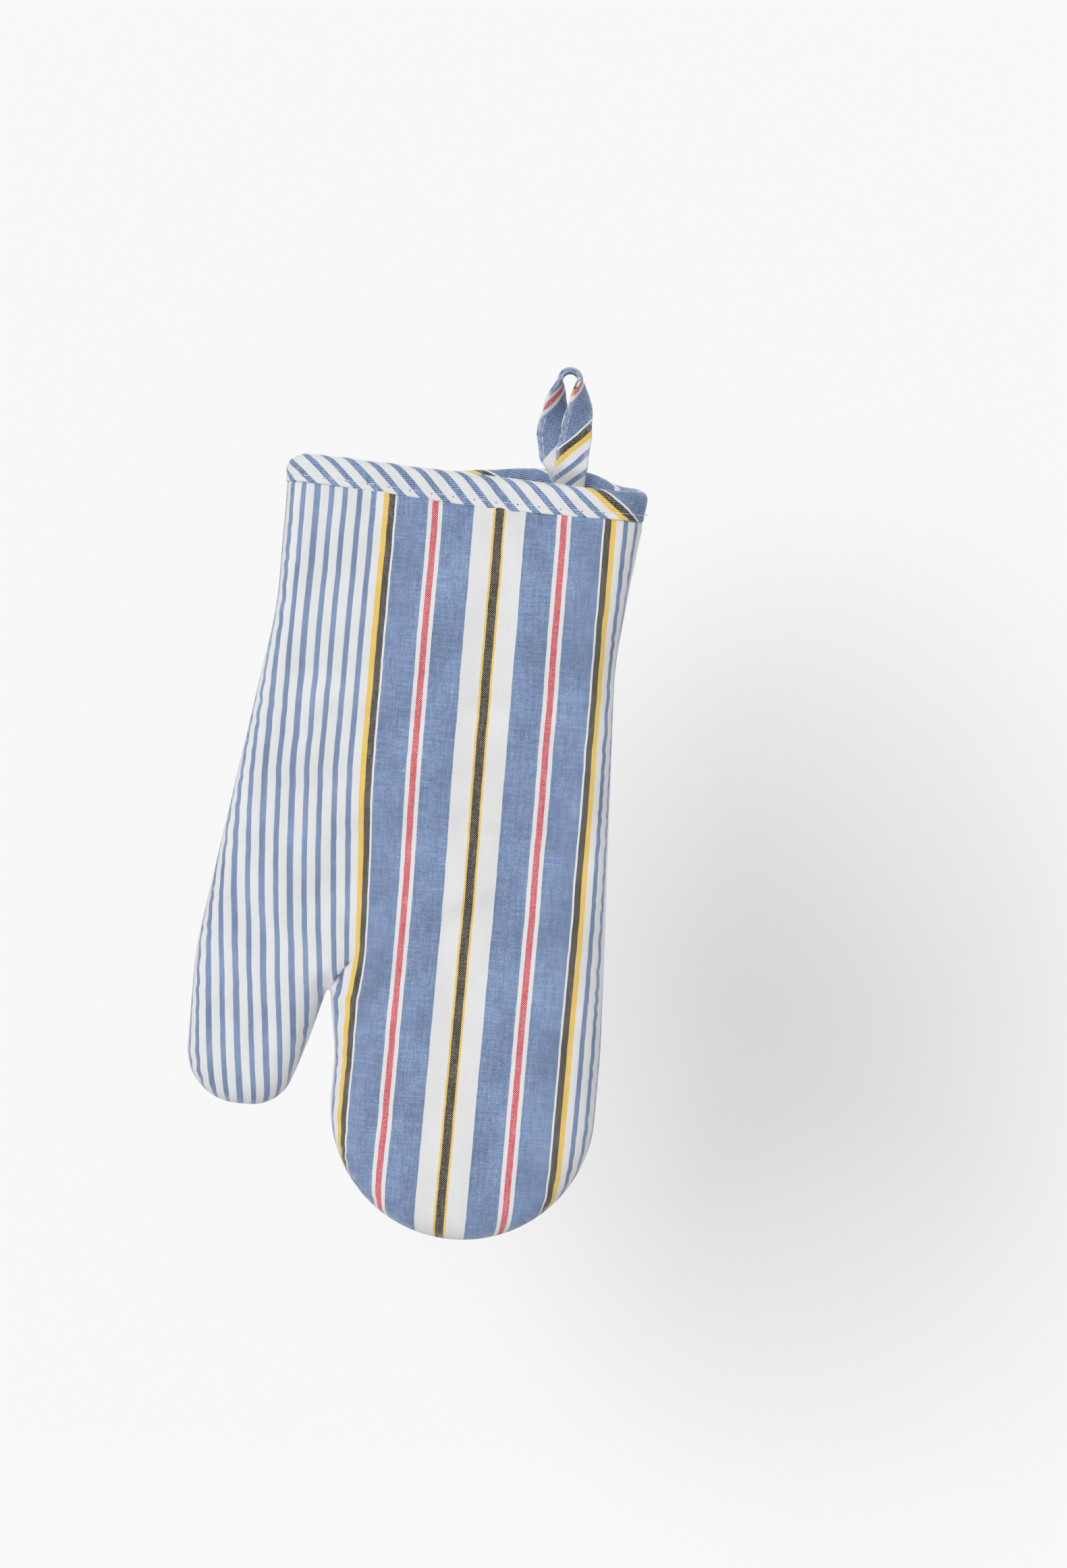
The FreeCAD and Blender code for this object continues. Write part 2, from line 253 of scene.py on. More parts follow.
def face_normals(points, faces):
    total = np.zeros_like(points)
    for size in (3, 4):
        chosen = np.array([f for f in faces if len(f) == size], int)
        if not len(chosen):
            continue
        a, b, c = points[chosen[:, 0]], points[chosen[:, 1]], points[chosen[:, 2]]
        area = np.cross(b - a, c - a)
        if size == 4:
            area = area + np.cross(c - a, points[chosen[:, 3]] - a)
        for k in range(size):
            np.add.at(total, chosen[:, k], area)
    length = np.linalg.norm(total, axis=1, keepdims=True)
    return total / np.maximum(length, 1e-9)


# ---------------------------------------------------------------- outline

def outline_corners():
    """Corners of the flat outline from the cuff's left end to its right end: u, w, radius.

    The corners at the crotch and inside the thumb are a little sharper or rounder than in the CAD.
    """
    return [
        (-CUFF_LEFT, float(cloth_edge(-CUFF_LEFT, False)), 0),
        (-CUFF_LEFT, -62.0, 150.0),
        (THUMB_LEFT, -209.8, 150.0),
        (THUMB_LEFT, THUMB_TIP, 23.0),
        (THUMB_LEFT + 41.0, THUMB_TIP, 18.0),
        (THUMB_LEFT + 50.6, -245.0, 110.0),
        (CROTCH_U, -PALM_LENGTH, 1.0),
        (HAND_LEFT, -PALM_LENGTH - 30.0, 50.0),
        (HAND_LEFT, FINGER_TIP, 56.0),
        (HAND_RIGHT, FINGER_TIP, 56.0),
        (HAND_RIGHT, -PALM_LENGTH - 20.0, 150.0),
        (HAND_RIGHT - 8.0, -76.0, 150.0),
        (CUFF_RIGHT, float(cloth_edge(CUFF_RIGHT, False)), 0),
    ]


def turned(v, angle):
    c, s = math.cos(angle), math.sin(angle)
    return np.array([c * v[0] - s * v[1], s * v[0] + c * v[1]])


def spaced(start, end, step):
    """Even points from start up to, and without, end."""
    start, end = np.array(start), np.array(end)
    count = max(1, round(math.dist(start, end) / step))
    return [tuple(start + (end - start) * i / count) for i in range(count)]


def rounded_path(corners, step, max_turn):
    """Points and unit tangents along straight sides joined by tangent arcs."""
    points, tangents = [], []
    at = np.array(corners[0][:2])

    def run_to(target):
        length = np.linalg.norm(target - at)
        if length < 1e-6:
            return
        run = spaced(at, target, step)
        points.extend(run)
        tangents.extend([(target - at) / length] * len(run))

    for i in range(1, len(corners) - 1):
        here = np.array(corners[i][:2])
        before = here - np.array(corners[i - 1][:2])
        after = np.array(corners[i + 1][:2]) - here
        before, after = before / np.linalg.norm(before), after / np.linalg.norm(after)
        turn = math.atan2(before[0] * after[1] - before[1] * after[0], before @ after)
        radius = corners[i][2]
        run = radius * math.tan(abs(turn) / 2)
        run_to(here - before * run)
        at = here - before * run
        side = 1 if turn > 0 else -1
        inward = np.array([-before[1], before[0]]) * side
        centre = at + inward * radius
        count = max(math.ceil(abs(turn) * radius / step), math.ceil(abs(turn) / max_turn))
        for k in range(count):
            a = turn * k / count
            points.append(centre + turned(at - centre, a))
            tangents.append(turned(before, a))
        at = here + after * run
    run_to(np.array(corners[-1][:2]))
    points.append(np.array(corners[-1][:2]))
    tangents.append(tangents[-1])
    points, tangents = np.array(points), np.array(tangents)
    normals = np.stack([tangents[:, 1], -tangents[:, 0]], axis=1)
    return points, normals, run_lengths(points)


# ---------------------------------------------------------------- cloth pattern on the skin

# The crease from the crotch, the direction across it, and where the thumb's cut meets the outside
CREASE = np.array([(-55.0, -224.4), (-47.6, -211.2), (-40.0, -201.0)])
CREASE_ACROSS = np.array([0.8, -0.6])
CUT_END = -212.0


def crease_place(uv):
    """Place along the crease, 0 at the crotch and 1 at its end, and signed distance to its right."""
    uv = np.asarray(uv, float)
    best = np.full(len(uv), 1e9)
    share, side = np.zeros(len(uv)), np.zeros(len(uv))
    for k in range(2):
        a, b = CREASE[k], CREASE[k + 1]
        length = np.linalg.norm(b - a)
        d = (b - a) / length
        rel = uv - a
        low, high = (-1e3, length) if k == 0 else (0.0, 1e3)
        held = np.clip(rel @ d, low, high)
        distance = np.linalg.norm(rel - held[:, None] * d, axis=1)
        right = rel[:, 0] * d[1] - rel[:, 1] * d[0]
        closer = distance < best
        best = np.where(closer, distance, best)
        share = np.where(closer, (held / length + k) / 2, share)
        side = np.where(closer, right, side)
    return share, side


def cloth_shift(uv, thumb_side):
    """How far the cloth's stripes are drawn sideways round the thumb, in millimetres."""
    u, w = uv[:, 0], uv[:, 1]
    fade = smooth((-25 - u) / 35)
    drawn = 13 * np.clip((-w - 130) / 140, 0, 1) ** 1.4 * fade
    plain = 1.5 * fade * np.clip((-w - 130) / 60, 0, 1)
    reach = np.where(w > -195, 50, 110)
    pulled = (0.35 + 1.3 * np.exp(-((w + 195) / reach) ** 2)) * (0.35 + 0.65 * smooth((20 - u) / 50))
    return plain + (drawn - plain) * thumb_side + pulled * smooth((u + 62) / 18)


def cloth_coordinates(uv, extra, left):
    """Cloth coordinates of points left or right of the crease. extra is the cloth beyond the plan."""
    share, _ = crease_place(uv)
    notch = uv[:, 1] < CREASE[0, 1]
    thumb_side = np.ones(len(uv)) if left else np.where(notch, 0.0, smooth(share))
    u = uv[:, 0] - cloth_shift(uv, thumb_side)
    return np.stack([u + extra[:, 0], uv[:, 1] + extra[:, 1]], axis=1)


# ---------------------------------------------------------------- the padded skin

def edge_rings():
    """Depth from the seam inwards, height and cloth beyond plan, for each ring of the rounded edge."""
    rings = [(0.75, 0.0), (0.12, 0.75)]
    for degrees in (3, 12, 22, 33, 44, 55, 66, 78, 90):
        a = math.radians(degrees)
        rings.append((EDGE_RADIUS * (1 - math.cos(a)), 1.0 + EDGE_RADIUS * math.sin(a)))
    out = []
    for d, y in rings:
        a = math.acos(np.clip(1 - d / EDGE_RADIUS, -1, 1))
        arc = EDGE_RADIUS * (math.pi / 2 - a) + max(0.0, 1.0 - y)
        out.append((d, y, arc - (EDGE_RADIUS - d)))
    return out


class Skin:
    """Both outer surfaces of the mitt, sewn together at the seam, with the cut and crease lines."""

    def __init__(self, step):
        self.step = step
        self.points, self.normals, self.lengths = rounded_path(outline_corners(), step, math.radians(6))
        self.rings = edge_rings()
        self.count = len(self.points)
        self.verts, self.faces = [], []
        self.extra, self.along, self.depth = [], [], []
        self.face_back, self.face_thumb, self.face_left = [], [], []
        self.find_lines()
        self.seam = self.add_ring(0, 0)
        for back in (False, True):
            self.add_panel(back)
        self.finish()

    def find_lines(self):
        """Samples on the crotch where the crease starts and on the thumb's outside where the cut ends."""
        near = np.linalg.norm(self.points - np.array([CROTCH_U, -PALM_LENGTH - 5.6]), axis=1) < 7
        direction = (CREASE[1] - CREASE[0]) / np.linalg.norm(CREASE[1] - CREASE[0])
        score = np.where(near, -self.normals @ direction, -9)
        self.crotch = int(np.argmax(score))
        outer = (self.points[:, 0] < -100) & (self.points[:, 1] < -190)
        self.cut = int(np.argmin(np.where(outer, np.abs(self.points[:, 1] - CUT_END), 1e9)))

    def add(self, u, y, w, extra, along, depth):
        self.verts.append((u, y, w))
        self.extra.append(extra)
        self.along.append(along)
        self.depth.append(depth)
        return len(self.verts) - 1

    def add_ring(self, k, back):
        d, y, more = self.rings[k]
        side = 1 if back else -1
        out = []
        for j in range(self.count):
            n = self.normals[j]
            near = np.linalg.norm(self.points[j] - CREASE[0])
            inset = d if k else d * min(1.0, near / 12)
            u, w = self.points[j] - n * inset
            if j in (0, self.count - 1):
                w = float(cloth_edge(u, back))
            stretch = more * min(1.0, near / 30)
            out.append(self.add(u, side * y, w, n * stretch, self.lengths[j], d))
        return out

    def add_panel(self, back):
        before = self.seam
        for k in range(1, len(self.rings)):
            ring = self.add_ring(k, back)
            for j in range(self.count - 1):
                quad = [before[j], before[j + 1], ring[j + 1], ring[j]]
                self.faces.append(quad if not back else quad[::-1])
                self.face_back.append(back)
                self.face_thumb.append(self.cut <= j < self.crotch)
                self.face_left.append(j < self.crotch)
            before = ring
        self.add_inside(before, back)

    def lines_inside(self, loop):
        """Points along the cut and along the crease, from the crotch; the two lines are kept as well."""
        start, end = (self.flat(loop[j]) for j in (self.crotch, self.cut))
        bend = start + np.array([-6.0, 7.0])
        self.cut_line = np.array([end, bend, start])
        self.crease_line = np.array([start, CREASE[1], CREASE[2]])
        cut, crease = [], []
        for a, b in ((start, bend), (bend, end)):
            count = max(2, round(np.linalg.norm(b - a) / self.step))
            cut += [a + (b - a) * i / count for i in range(1, count + 1)]
        cut.pop()
        for a, b in ((start, CREASE[1]), (CREASE[1], CREASE[2])):
            count = max(1, round(np.linalg.norm(b - a) / (self.step * 0.7)))
            crease += [a + (b - a) * i / count for i in range(1, count + 1)]
        return cut, crease

    def flat(self, i):
        return np.array([self.verts[i][0], self.verts[i][2]])

    def add_inside(self, loop, back):
        """Fills a panel inside its last ring with triangles that have the cut and crease as edges."""
        ring = [self.flat(i) for i in loop]
        right, left = ring[-1], ring[0]
        count = round(abs(right[0] - left[0]) / self.step)
        across = [right[0] + (left[0] - right[0]) * i / count for i in range(1, count)]
        border = np.array(ring + [np.array([u, float(cloth_edge(u, back))]) for u in across])
        cut, crease = self.lines_inside(loop)
        beside = [c + CREASE_ACROSS * s for c in crease[:-1] for s in (-0.7, 0.7)]
        fixed = np.array(list(border) + cut + crease + beside)
        inputs = [Vector(p) for p in (*fixed, *self.lattice(border, fixed))]
        n = len(border)
        first_crease = n + len(cut)
        cut_chain = [self.crotch, *range(n, first_crease), self.cut]
        crease_chain = [self.crotch, *range(first_crease, first_crease + len(crease))]
        edges = [(i, (i + 1) % n) for i in range(n)]
        for chain in (cut_chain, crease_chain):
            edges += zip(chain, chain[1:])
        verts, _, tris, origins, _, _ = delaunay_2d_cdt(inputs, edges, [list(range(n))], 1, 1e-5)
        index = []
        for v, origin in zip(verts, origins):
            if origin and origin[0] < len(loop):
                index.append(loop[origin[0]])
            else:
                index.append(self.add(v[0], 0.0, v[1], np.zeros(2), -1.0, EDGE_RADIUS))
        for tri in tris:
            self.add_triangle([index[i] for i in tri], back)

    def add_triangle(self, ids, back):
        """One triangle, wound outwards and marked with its side of the cut and of the crease."""
        line, fold = self.cut_line, self.crease_line
        p = [(self.verts[i][0], self.verts[i][2]) for i in ids]
        area = (p[1][0] - p[0][0]) * (p[2][1] - p[0][1]) - (p[2][0] - p[0][0]) * (p[1][1] - p[0][1])
        if abs(area) < 1e-7:
            return
        if area < 0:
            ids.reverse()
        u, w = np.mean(p, axis=0)
        below = w < np.interp(u, line[:, 0], line[:, 1])
        self.faces.append(ids if not back else ids[::-1])
        self.face_back.append(back)
        self.face_thumb.append(bool(below and u < line[2, 0]))
        self.face_left.append(bool(u < np.interp(w, fold[:, 1], fold[:, 0])))

    def lattice(self, border, fixed):
        """Points of an even triangular grid inside the border and clear of the fixed points."""
        step = self.step
        low, high = border.min(0), border.max(0)
        grid = []
        row, w = 0, low[1] + step
        while w < high[1]:
            u = low[0] + (step / 2 if row % 2 else 0)
            while u < high[0]:
                grid.append((u, w))
                u += step
            w += step * 0.866
            row += 1
        points = np.array(grid)
        inside = np.zeros(len(points), bool)
        for a, b in zip(border, np.roll(border, -1, axis=0)):
            crosses = (a[1] > points[:, 1]) != (b[1] > points[:, 1])
            with np.errstate(divide="ignore", invalid="ignore"):
                at = a[0] + (points[:, 1] - a[1]) * (b[0] - a[0]) / (b[1] - a[1])
            inside ^= crosses & (points[:, 0] < at)
        points = points[inside]
        tree = search_tree(enumerate(fixed))
        keep = [tree.find((p[0], p[1], 0))[2] > step * 0.6 for p in points]
        return points[np.array(keep)]

    def finish(self):
        for key in ("verts", "extra", "along", "depth", "face_back", "face_thumb"):
            setattr(self, key, np.array(getattr(self, key)))
        self.inside = self.along < 0
        self.side = np.zeros(len(self.verts))
        for face, is_back in zip(self.faces, self.face_back):
            self.side[face] = 1 if is_back else -1
        self.side[self.seam] = 0
        self.plan = self.verts[:, (0, 2)].copy()
        self.measure_depth()
        self.cloth = {left: cloth_coordinates(self.plan, self.extra, left) for left in (True, False)}
        self.shape()

    def measure_depth(self):
        """Distance from the outline for the points inside, and the nearest place along it."""
        tree = search_tree(enumerate(self.points))
        for i in np.flatnonzero(self.inside):
            _, j, distance = tree.find((self.plan[i, 0], self.plan[i, 1], 0))
            self.depth[i] = max(distance, EDGE_RADIUS)
            self.along[i] = self.lengths[j]

    def shape(self):
        """Gives the points inside their height, then adds the cloth's relief along the normals."""
        self.verts[self.inside, 1] = HALF_DEPTH * self.side[self.inside]
        normals = face_normals(self.verts, self.faces)
        self.verts += normals * relief(self)[:, None]
        self.rest_normals = face_normals(self.verts, self.faces)


def closed_form(skin):
    """The sewn form as an object, with its mouth filled so that it holds pressure."""
    mesh = bpy.data.meshes.new("settling_form")
    mesh.from_pydata([tuple(p) for p in skin.verts * MM], [], [tuple(map(int, f)) for f in skin.faces])
    shell = bmesh.new()
    shell.from_mesh(mesh)
    bmesh.ops.holes_fill(shell, edges=[e for e in shell.edges if e.is_boundary], sides=0)
    bmesh.ops.triangulate(shell, faces=[f for f in shell.faces if len(f.verts) > 4])
    shell.to_mesh(mesh)
    shell.free()
    return add_object("settling_form", mesh)


def add_cloth(obj, held):
    """A pressurised Cloth modifier, with the held points pinned."""
    group = obj.vertex_groups.new(name="held")
    group.add([int(i) for i in np.flatnonzero(held)], 1.0, "REPLACE")
    cloth = obj.modifiers.new("settle", "CLOTH")
    values = {
        "quality": 5, "mass": 0.3, "tension_stiffness": 15, "compression_stiffness": 15,
        "shear_stiffness": 5, "bending_stiffness": SETTLE_BENDING, "vertex_group_mass": "held",
        "shrink_min": -SETTLE_EASE, "use_pressure": True, "uniform_pressure_force": SETTLE_PRESSURE,
    }
    for key, value in values.items():
        setattr(cloth.settings, key, value)
    cloth.settings.effector_weights.gravity = 0
    cloth.collision_settings.use_collision = False
    cloth.collision_settings.use_self_collision = False


def settle(skin):
    """Swells the sewn form with Cloth, held at its seam, cuff and crease: how far each point moves."""
    below = lip_height(skin.plan[:, 0], False) - skin.plan[:, 1]
    share, side = crease_place(skin.plan)
    on_crease = (np.abs(side) < 4) & (share > -0.1) & (share < 1)
    obj = closed_form(skin)
    add_cloth(obj, (skin.depth < 0.5) | (below < 13) | on_crease)
    scene = bpy.context.scene
    for step in range(1, SETTLE_STEPS + 1):
        scene.frame_set(step)
    bpy.context.view_layer.update()
    settled = obj.evaluated_get(bpy.context.evaluated_depsgraph_get()).data
    moved = np.zeros(len(settled.vertices) * 3)
    settled.vertices.foreach_get("co", moved)
    moved = moved.reshape(-1, 3)[:len(skin.verts)] * 1000 - skin.verts
    scene.frame_set(1)
    mesh = obj.data
    bpy.data.objects.remove(obj, do_unlink=True)
    bpy.data.meshes.remove(mesh)
    moved *= smooth((skin.depth[:, None] - 2) / 14)
    moved[:, (0, 2)] *= SETTLE_SIDEWAYS
    length = np.linalg.norm(moved, axis=1, keepdims=True)
    return moved * SETTLE_LIMIT * np.tanh(length / SETTLE_LIMIT) / np.maximum(length, 1e-6)


def carry(source, moved, target):
    """The settled form's movement at another skin's points, from the nearest four of the same side."""
    trees = {}
    for side in (-1, 1):
        chosen = np.flatnonzero((source.side == side) | (source.side == 0))
        trees[side] = search_tree((i, source.settle_from[i]) for i in chosen)
    out = np.zeros_like(target.verts)
    for i, p in enumerate(target.settle_from):
        found = trees[1 if target.side[i] > 0 else -1].find_n(Vector(p), 4)
        weight = np.array([1 / (distance + 0.3) ** 2 for _, _, distance in found])
        out[i] = (moved[[j for _, j, _ in found]] * weight[:, None]).sum(0) / weight.sum()
    return out


def settle_skins(coarse, fine):
    for skin in (coarse, fine):
        skin.settle_from = skin.verts.copy()
    moved = settle(coarse)
    shifts = [(coarse, moved), (fine, carry(coarse, moved, fine))]
    for skin, shift in shifts:
        skin.verts = skin.verts + shift
        skin.rest_normals = face_normals(skin.verts, skin.faces)


# Relief of the padded cloth. The soft waves have a height, a size and a seed each
CROWN = 0.6
SOFT_WAVES = ((0.9, 46, 3.0), (0.45, 19, 8.0))
BACK_SEED = 280.0
PUCKER_SPACING = 8.6
PUCKER_HEIGHT = 0.38
GATHER_SIZE = 8.5
GATHER_HEIGHT = 1.2
CREASE_FRONT = 5.4
CREASE_BACK = 2.0
VALLEY = 0.45
VALLEY_WIDTH = 3.6
GROOVE = 0.70
GROOVE_WIDTH = 0.75
HAND_SWELL = 1.8


def relief(skin):
    """Height added to the plain padded form: crown, soft waves, seam puckers, gathers and creases."""
    u, w = skin.plan[:, 0], skin.plan[:, 1]
    below = -(w - lip_height(u, False))
    inner = smooth((skin.depth - 2) / 20)
    settled = smooth((below - 13) / 22)
    places = np.stack([u, w + np.where(skin.side > 0, BACK_SEED, 0.0)], axis=1)
    total = CROWN * smooth((skin.depth - EDGE_RADIUS) / 24) * settled
    for height, size, seed in SOFT_WAVES:
        total += height * waves(places, size, seed) * inner * settled
    total += seam_puckers(skin) * settled
    total += cuff_gathers(u, below, skin.side)
    total += crease_relief(skin)
    return total


def seam_puckers(skin):
    """Small uneven dimples where the seam's stitches draw the cloth in."""
    out = np.zeros(len(skin.plan))
    reach = np.exp(-np.maximum(skin.depth - 3, 0) / 5.5) * smooth(skin.depth / 2.5)
    for i in np.flatnonzero(reach > 0.02):
        s = skin.along[i]
        phase = s / PUCKER_SPACING + 0.9 * wave(s / 31, skin.side[i] * 5)
        size = PUCKER_HEIGHT + 0.40 * wave(s / 23, 9 + skin.side[i])
        out[i] = size * math.sin(2 * math.pi * phase) * reach[i]
    return out


def cuff_gathers(u, below, side):
    """The outer cloth swells just below the binding, in uneven soft folds."""
    fade = smooth((below - 9) / 5) * np.exp(-np.maximum(below - 14, 0) / 13)
    folds = [wave((a - 0.35 * d) / GATHER_SIZE, b * 3, 2) for a, b, d in zip(u, side, below)]
    return fade * (0.35 + GATHER_HEIGHT * np.array(folds)) - 0.5 * smooth((16 - below) / 5)


def crease_relief(skin):
    """The crease from the crotch: a valley with a sharp groove, and the ball of the hand beside it."""
    share, side = crease_place(skin.plan)
    strength = np.clip(1 - share, 0, 1) ** 1.1 * (share >= -0.02)
    notch = skin.plan[:, 1] < CREASE[0, 1] + 0.2
    strength = np.where(notch, 0, strength) * smooth((skin.depth - 0.2) / 5)
    distance = np.abs(side)
    valley = VALLEY * np.exp(-distance / VALLEY_WIDTH)
    groove = GROOVE * np.clip(1 - distance / GROOVE_WIDTH, 0, 1) * smooth((strength - 0.25) / 0.35)
    valley += groove / np.maximum(strength, 0.15)
    amount = np.where(skin.side > 0, CREASE_BACK, CREASE_FRONT)
    swell = HAND_SWELL * np.exp(-((side - 9) / 7) ** 2) * np.exp(-((share - 0.6) / 0.8) ** 2)
    return -amount * strength * valley + swell * smooth((skin.depth - 6) / 10) * (skin.side < 0)


# ---------------------------------------------------------------- pieces cut from the skin

def skin_piece(skin, name, material, back, thumb, outside, inside):
    """One panel of one layer as a closed sheet between two depths under the skin."""
    kept = [k for k in range(len(skin.faces)) if skin.face_back[k] == back and skin.face_thumb[k] == thumb]
    used = sorted({i for k in kept for i in skin.faces[k]})
    place = {i: k for k, i in enumerate(used)}
    points, normals = skin.verts[used], skin.rest_normals[used]
    count = len(used)
    faces = [[place[i] for i in skin.faces[k]] for k in kept]
    edges = {}
    for f, k in zip(faces, kept):
        for a, b in zip(f, f[1:] + f[:1]):
            edges[(a, b)] = skin.face_left[k]
    rim = {(b, a, a + count, b + count): left for (a, b), left in edges.items() if (b, a) not in edges}
    under = [[i + count for i in reversed(f)] for f in faces]
    cloth = [skin.cloth[skin.face_left[k]][skin.faces[k]] for k in kept]
    cloth += [corners[::-1] for corners in cloth]
    cloth += [skin.cloth[left][[used[i % count] for i in quad]] for quad, left in rim.items()]
    world = hang(np.concatenate([points - normals * outside, points - normals * inside]))
    strip = np.stack([skin.along[used], skin.depth[used]], axis=1) * MM
    out = lean(normals)
    return new_mesh(name, world, faces + under + list(rim), material, np.concatenate(cloth) * MM,
                    np.concatenate([strip, strip]), np.concatenate([out, -out]))


def blend_fingers(obj):
    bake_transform(obj)


def blend_thumb(obj):
    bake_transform(obj)


def make_layers(fine, coarse, materials):
    """The outer cloth, wadding and lining, each as a hand and a thumb panel on the front and back."""
    for layer, (outside, inside, slot) in LAYERS.items():
        skin = fine if layer == "outer" else coarse
        for side, part in (("front", "hand"), ("front", "thumb"), ("back", "hand"), ("back", "thumb")):
            back, thumb = side == "back", part == "thumb"
            name = f"mitt_{layer}_{side}_{part}"
            obj = skin_piece(skin, name, materials[layer], back, thumb, outside, inside)
            ends = ("thumb",) if thumb else ("palm", "fingers")
            (blend_thumb if thumb else blend_fingers)(obj)
            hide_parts(*(f"{layer}_{side}_{end}" for end in ends))
            if layer == "wadding":
                continue


# ---------------------------------------------------------------- thin folded strips

def thick_profile(line, thickness):
    """A closed outline round a line of points, so that a strip of cloth has two faces and edges."""
    line = np.asarray(line, float)
    tangent = np.gradient(line, axis=0)
    tangent /= np.linalg.norm(tangent, axis=1, keepdims=True)
    normal = np.stack([-tangent[:, 1], tangent[:, 0]], axis=1)
    return np.concatenate([line + normal * thickness / 2, (line - normal * thickness / 2)[::-1]])


def turn_points(centre, radius, start, end, steps):
    """Points on an arc, angles in degrees."""
    out = []
    for i in range(steps + 1):
        a = math.radians(start + (end - start) * i / steps)
        out.append((centre[0] + radius * math.cos(a), centre[1] + radius * math.sin(a)))
    return out


# ---------------------------------------------------------------- binding

BINDING_CLOTH = 0.5
FOLD_CENTRE = -4.7
SIDE_SLOPE = 0.099
STITCH_HEIGHT = -9.5
STITCH_LENGTH = 2.6
STITCH_GAP = 0.75
STITCH_RADIUS = 0.14
STITCH_GROOVE = 0.24
STITCH_PULL = 0.16
RIPPLE = 0.22
LEAF_SWELL = 0.30
LEAF_FACE = 0.90
# Painted shade of the needle holes: the spacing of its dark dots along the binding and their distance down
# from the fold
HOLE_SHADE_SPACING = 9.1
HOLE_SHADE_DOWN = 10.6
# How the strip is cut: the angle of the cut, where it is joined, and the cloth at its corner
BIAS = math.radians(38.75)
BINDING_JOIN = 187.0
BINDING_START = {"front": 70.7, "back": 50.5}
MIDDLE_DOWN = 9.3
QUARTER = EDGE_RADIUS * math.pi / 2


def binding_line():
    """Section of the folded strip: o outwards from the outer cloth, h up from its edge."""
    low, turn, foot, end = -10.9, -11.6, 0.30, -6.0
    face, inner = LEAF_FACE, -STACK - LEAF_FACE
    line = spaced((foot, end), (foot, turn), 1.4)
    line += turn_points((2 * foot, turn), foot, 180, 360, 4)
    line += spaced((face, low), (face, FOLD_CENTRE - 0.4), 0.7)
    line += turn_points((-STACK / 2, FOLD_CENTRE), STACK / 2 + face, 0, 180, 14)
    line += spaced((inner, FOLD_CENTRE - 0.7), (inner, low), 1.2)
    line += turn_points((inner + foot, turn), foot, 180, 360, 4)
    line += spaced((inner + 2 * foot, low), (inner + 2 * foot, end), 1.4)
    return np.array(line)


def mouth_path(step):
    """Plan points, outward normals and lengths round the mouth, from the left side seam."""
    r = EDGE_RADIUS
    left, right, half = r - CUFF_LEFT, CUFF_RIGHT - r, HALF_DEPTH - r
    points, normals = [], []

    def straight(a, b, n):
        run = spaced(a, b, step)
        points.extend(run)
        normals.extend([n] * len(run))

    def arc(centre, start):
        points.extend(turn_points(centre, r, start, start + 90, 9)[:-1])
        normals.extend(turn_points((0, 0), 1, start, start + 90, 9)[:-1])

    arc((left, -half), 180)
    straight((left, -HALF_DEPTH), (right, -HALF_DEPTH), (0, -1))
    arc((right, -half), 270)
    arc((right, half), 0)
    straight((right, HALF_DEPTH), (left, HALF_DEPTH), (0, 1))
    arc((left, half), 90)
    return np.array(points), np.array(normals), run_lengths(np.array(points + points[:1]))


def mouth_height(u, y):
    """Height of the lip round the mouth, higher at the back."""
    share = smooth((np.asarray(y) + HALF_DEPTH) / (2 * HALF_DEPTH))
    return lip_height(u, False) * (1 - share) + lip_height(u, True) * share


def binding_rise(u, y, h):
    """Height of a point of the binding's section: the corners move its top, a bulge its lower edge."""
    bulge = 1.7 * math.exp(-((u + 5) / 45) ** 2) - 0.6 * smooth((u - 32) / 26)
    lower = (1.0 + bulge) * smooth((-h - 3) / 9)
    return mouth_height(u, y) + h + corner_shape(u) * smooth((h + 11) / 8) - lower


def binding_points(points, normals, lengths, profile):
    """Every section of the binding in place."""
    verts = []
    for (u, y), n, s in zip(points, normals, lengths):
        for o, h in profile:
            out = (o + binding_swell(s, o, h)) * (1 - 0.3 * n[0] ** 2 * (o > 0))
            out -= SIDE_SLOPE * max(-h, 0) * max(n[0], 0)
            up = binding_rise(u, y, h) + 0.25 * wave(s / 9, 7, 1) * smooth((h + 6) / 5)
            verts.append((u + n[0] * out, y + n[1] * out, up))
    return np.array(verts)


def binding_swell(s, o, h):
    """The outer leaf's stitched groove with its puckers, its soft swell and its ripples."""
    ripple = RIPPLE * wave(s / 7.5, h / 9, 4) * smooth((h + 12) / 6)
    if o < 0.5:
        return ripple
    pucker = 0.75 + 0.45 * wave(s / 2.6, 3, 9)
    groove = -STITCH_GROOVE * pucker * math.exp(-((h - STITCH_HEIGHT) / 1.3) ** 2)
    pull = STITCH_PULL * wave(s / 3.4, h / 14, 12) * math.exp(-((h - STITCH_HEIGHT) / 3.2) ** 2)
    return ripple + groove + pull + LEAF_SWELL * math.exp(-((h + 5.4) / 2.8) ** 2)


def binding_arc(line):
    """Cloth length from the top of the fold down each side, along the section."""
    lengths = run_lengths(line)
    return lengths[np.argmax(line[:, 1])] - lengths


def make_binding(material):
    line = binding_line()
    arc = binding_arc(line)
    down = np.concatenate([arc, arc[::-1]])
    profile = thick_profile(line, BINDING_CLOTH)
    points, normals, lengths = mouth_path(1.8)
    verts = binding_points(points, normals, lengths, profile)
    faces, cloth, strip = [], [], []
    for quad, corners in ring_quads(len(points), len(profile), closed=True):
        faces.append(quad)
        on_back = lengths[corners[0][0]] > BINDING_JOIN
        for j, a in corners:
            cloth.append(binding_cloth(lengths[j], down[a], on_back))
            strip.append((lengths[j], down[a]))
    obj = new_mesh("cuff_binding_strip", hang(verts), faces, material, np.array(cloth) * MM,
                   np.array(strip) * MM)
    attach(obj, "palm")
    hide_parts("cuff_binding")


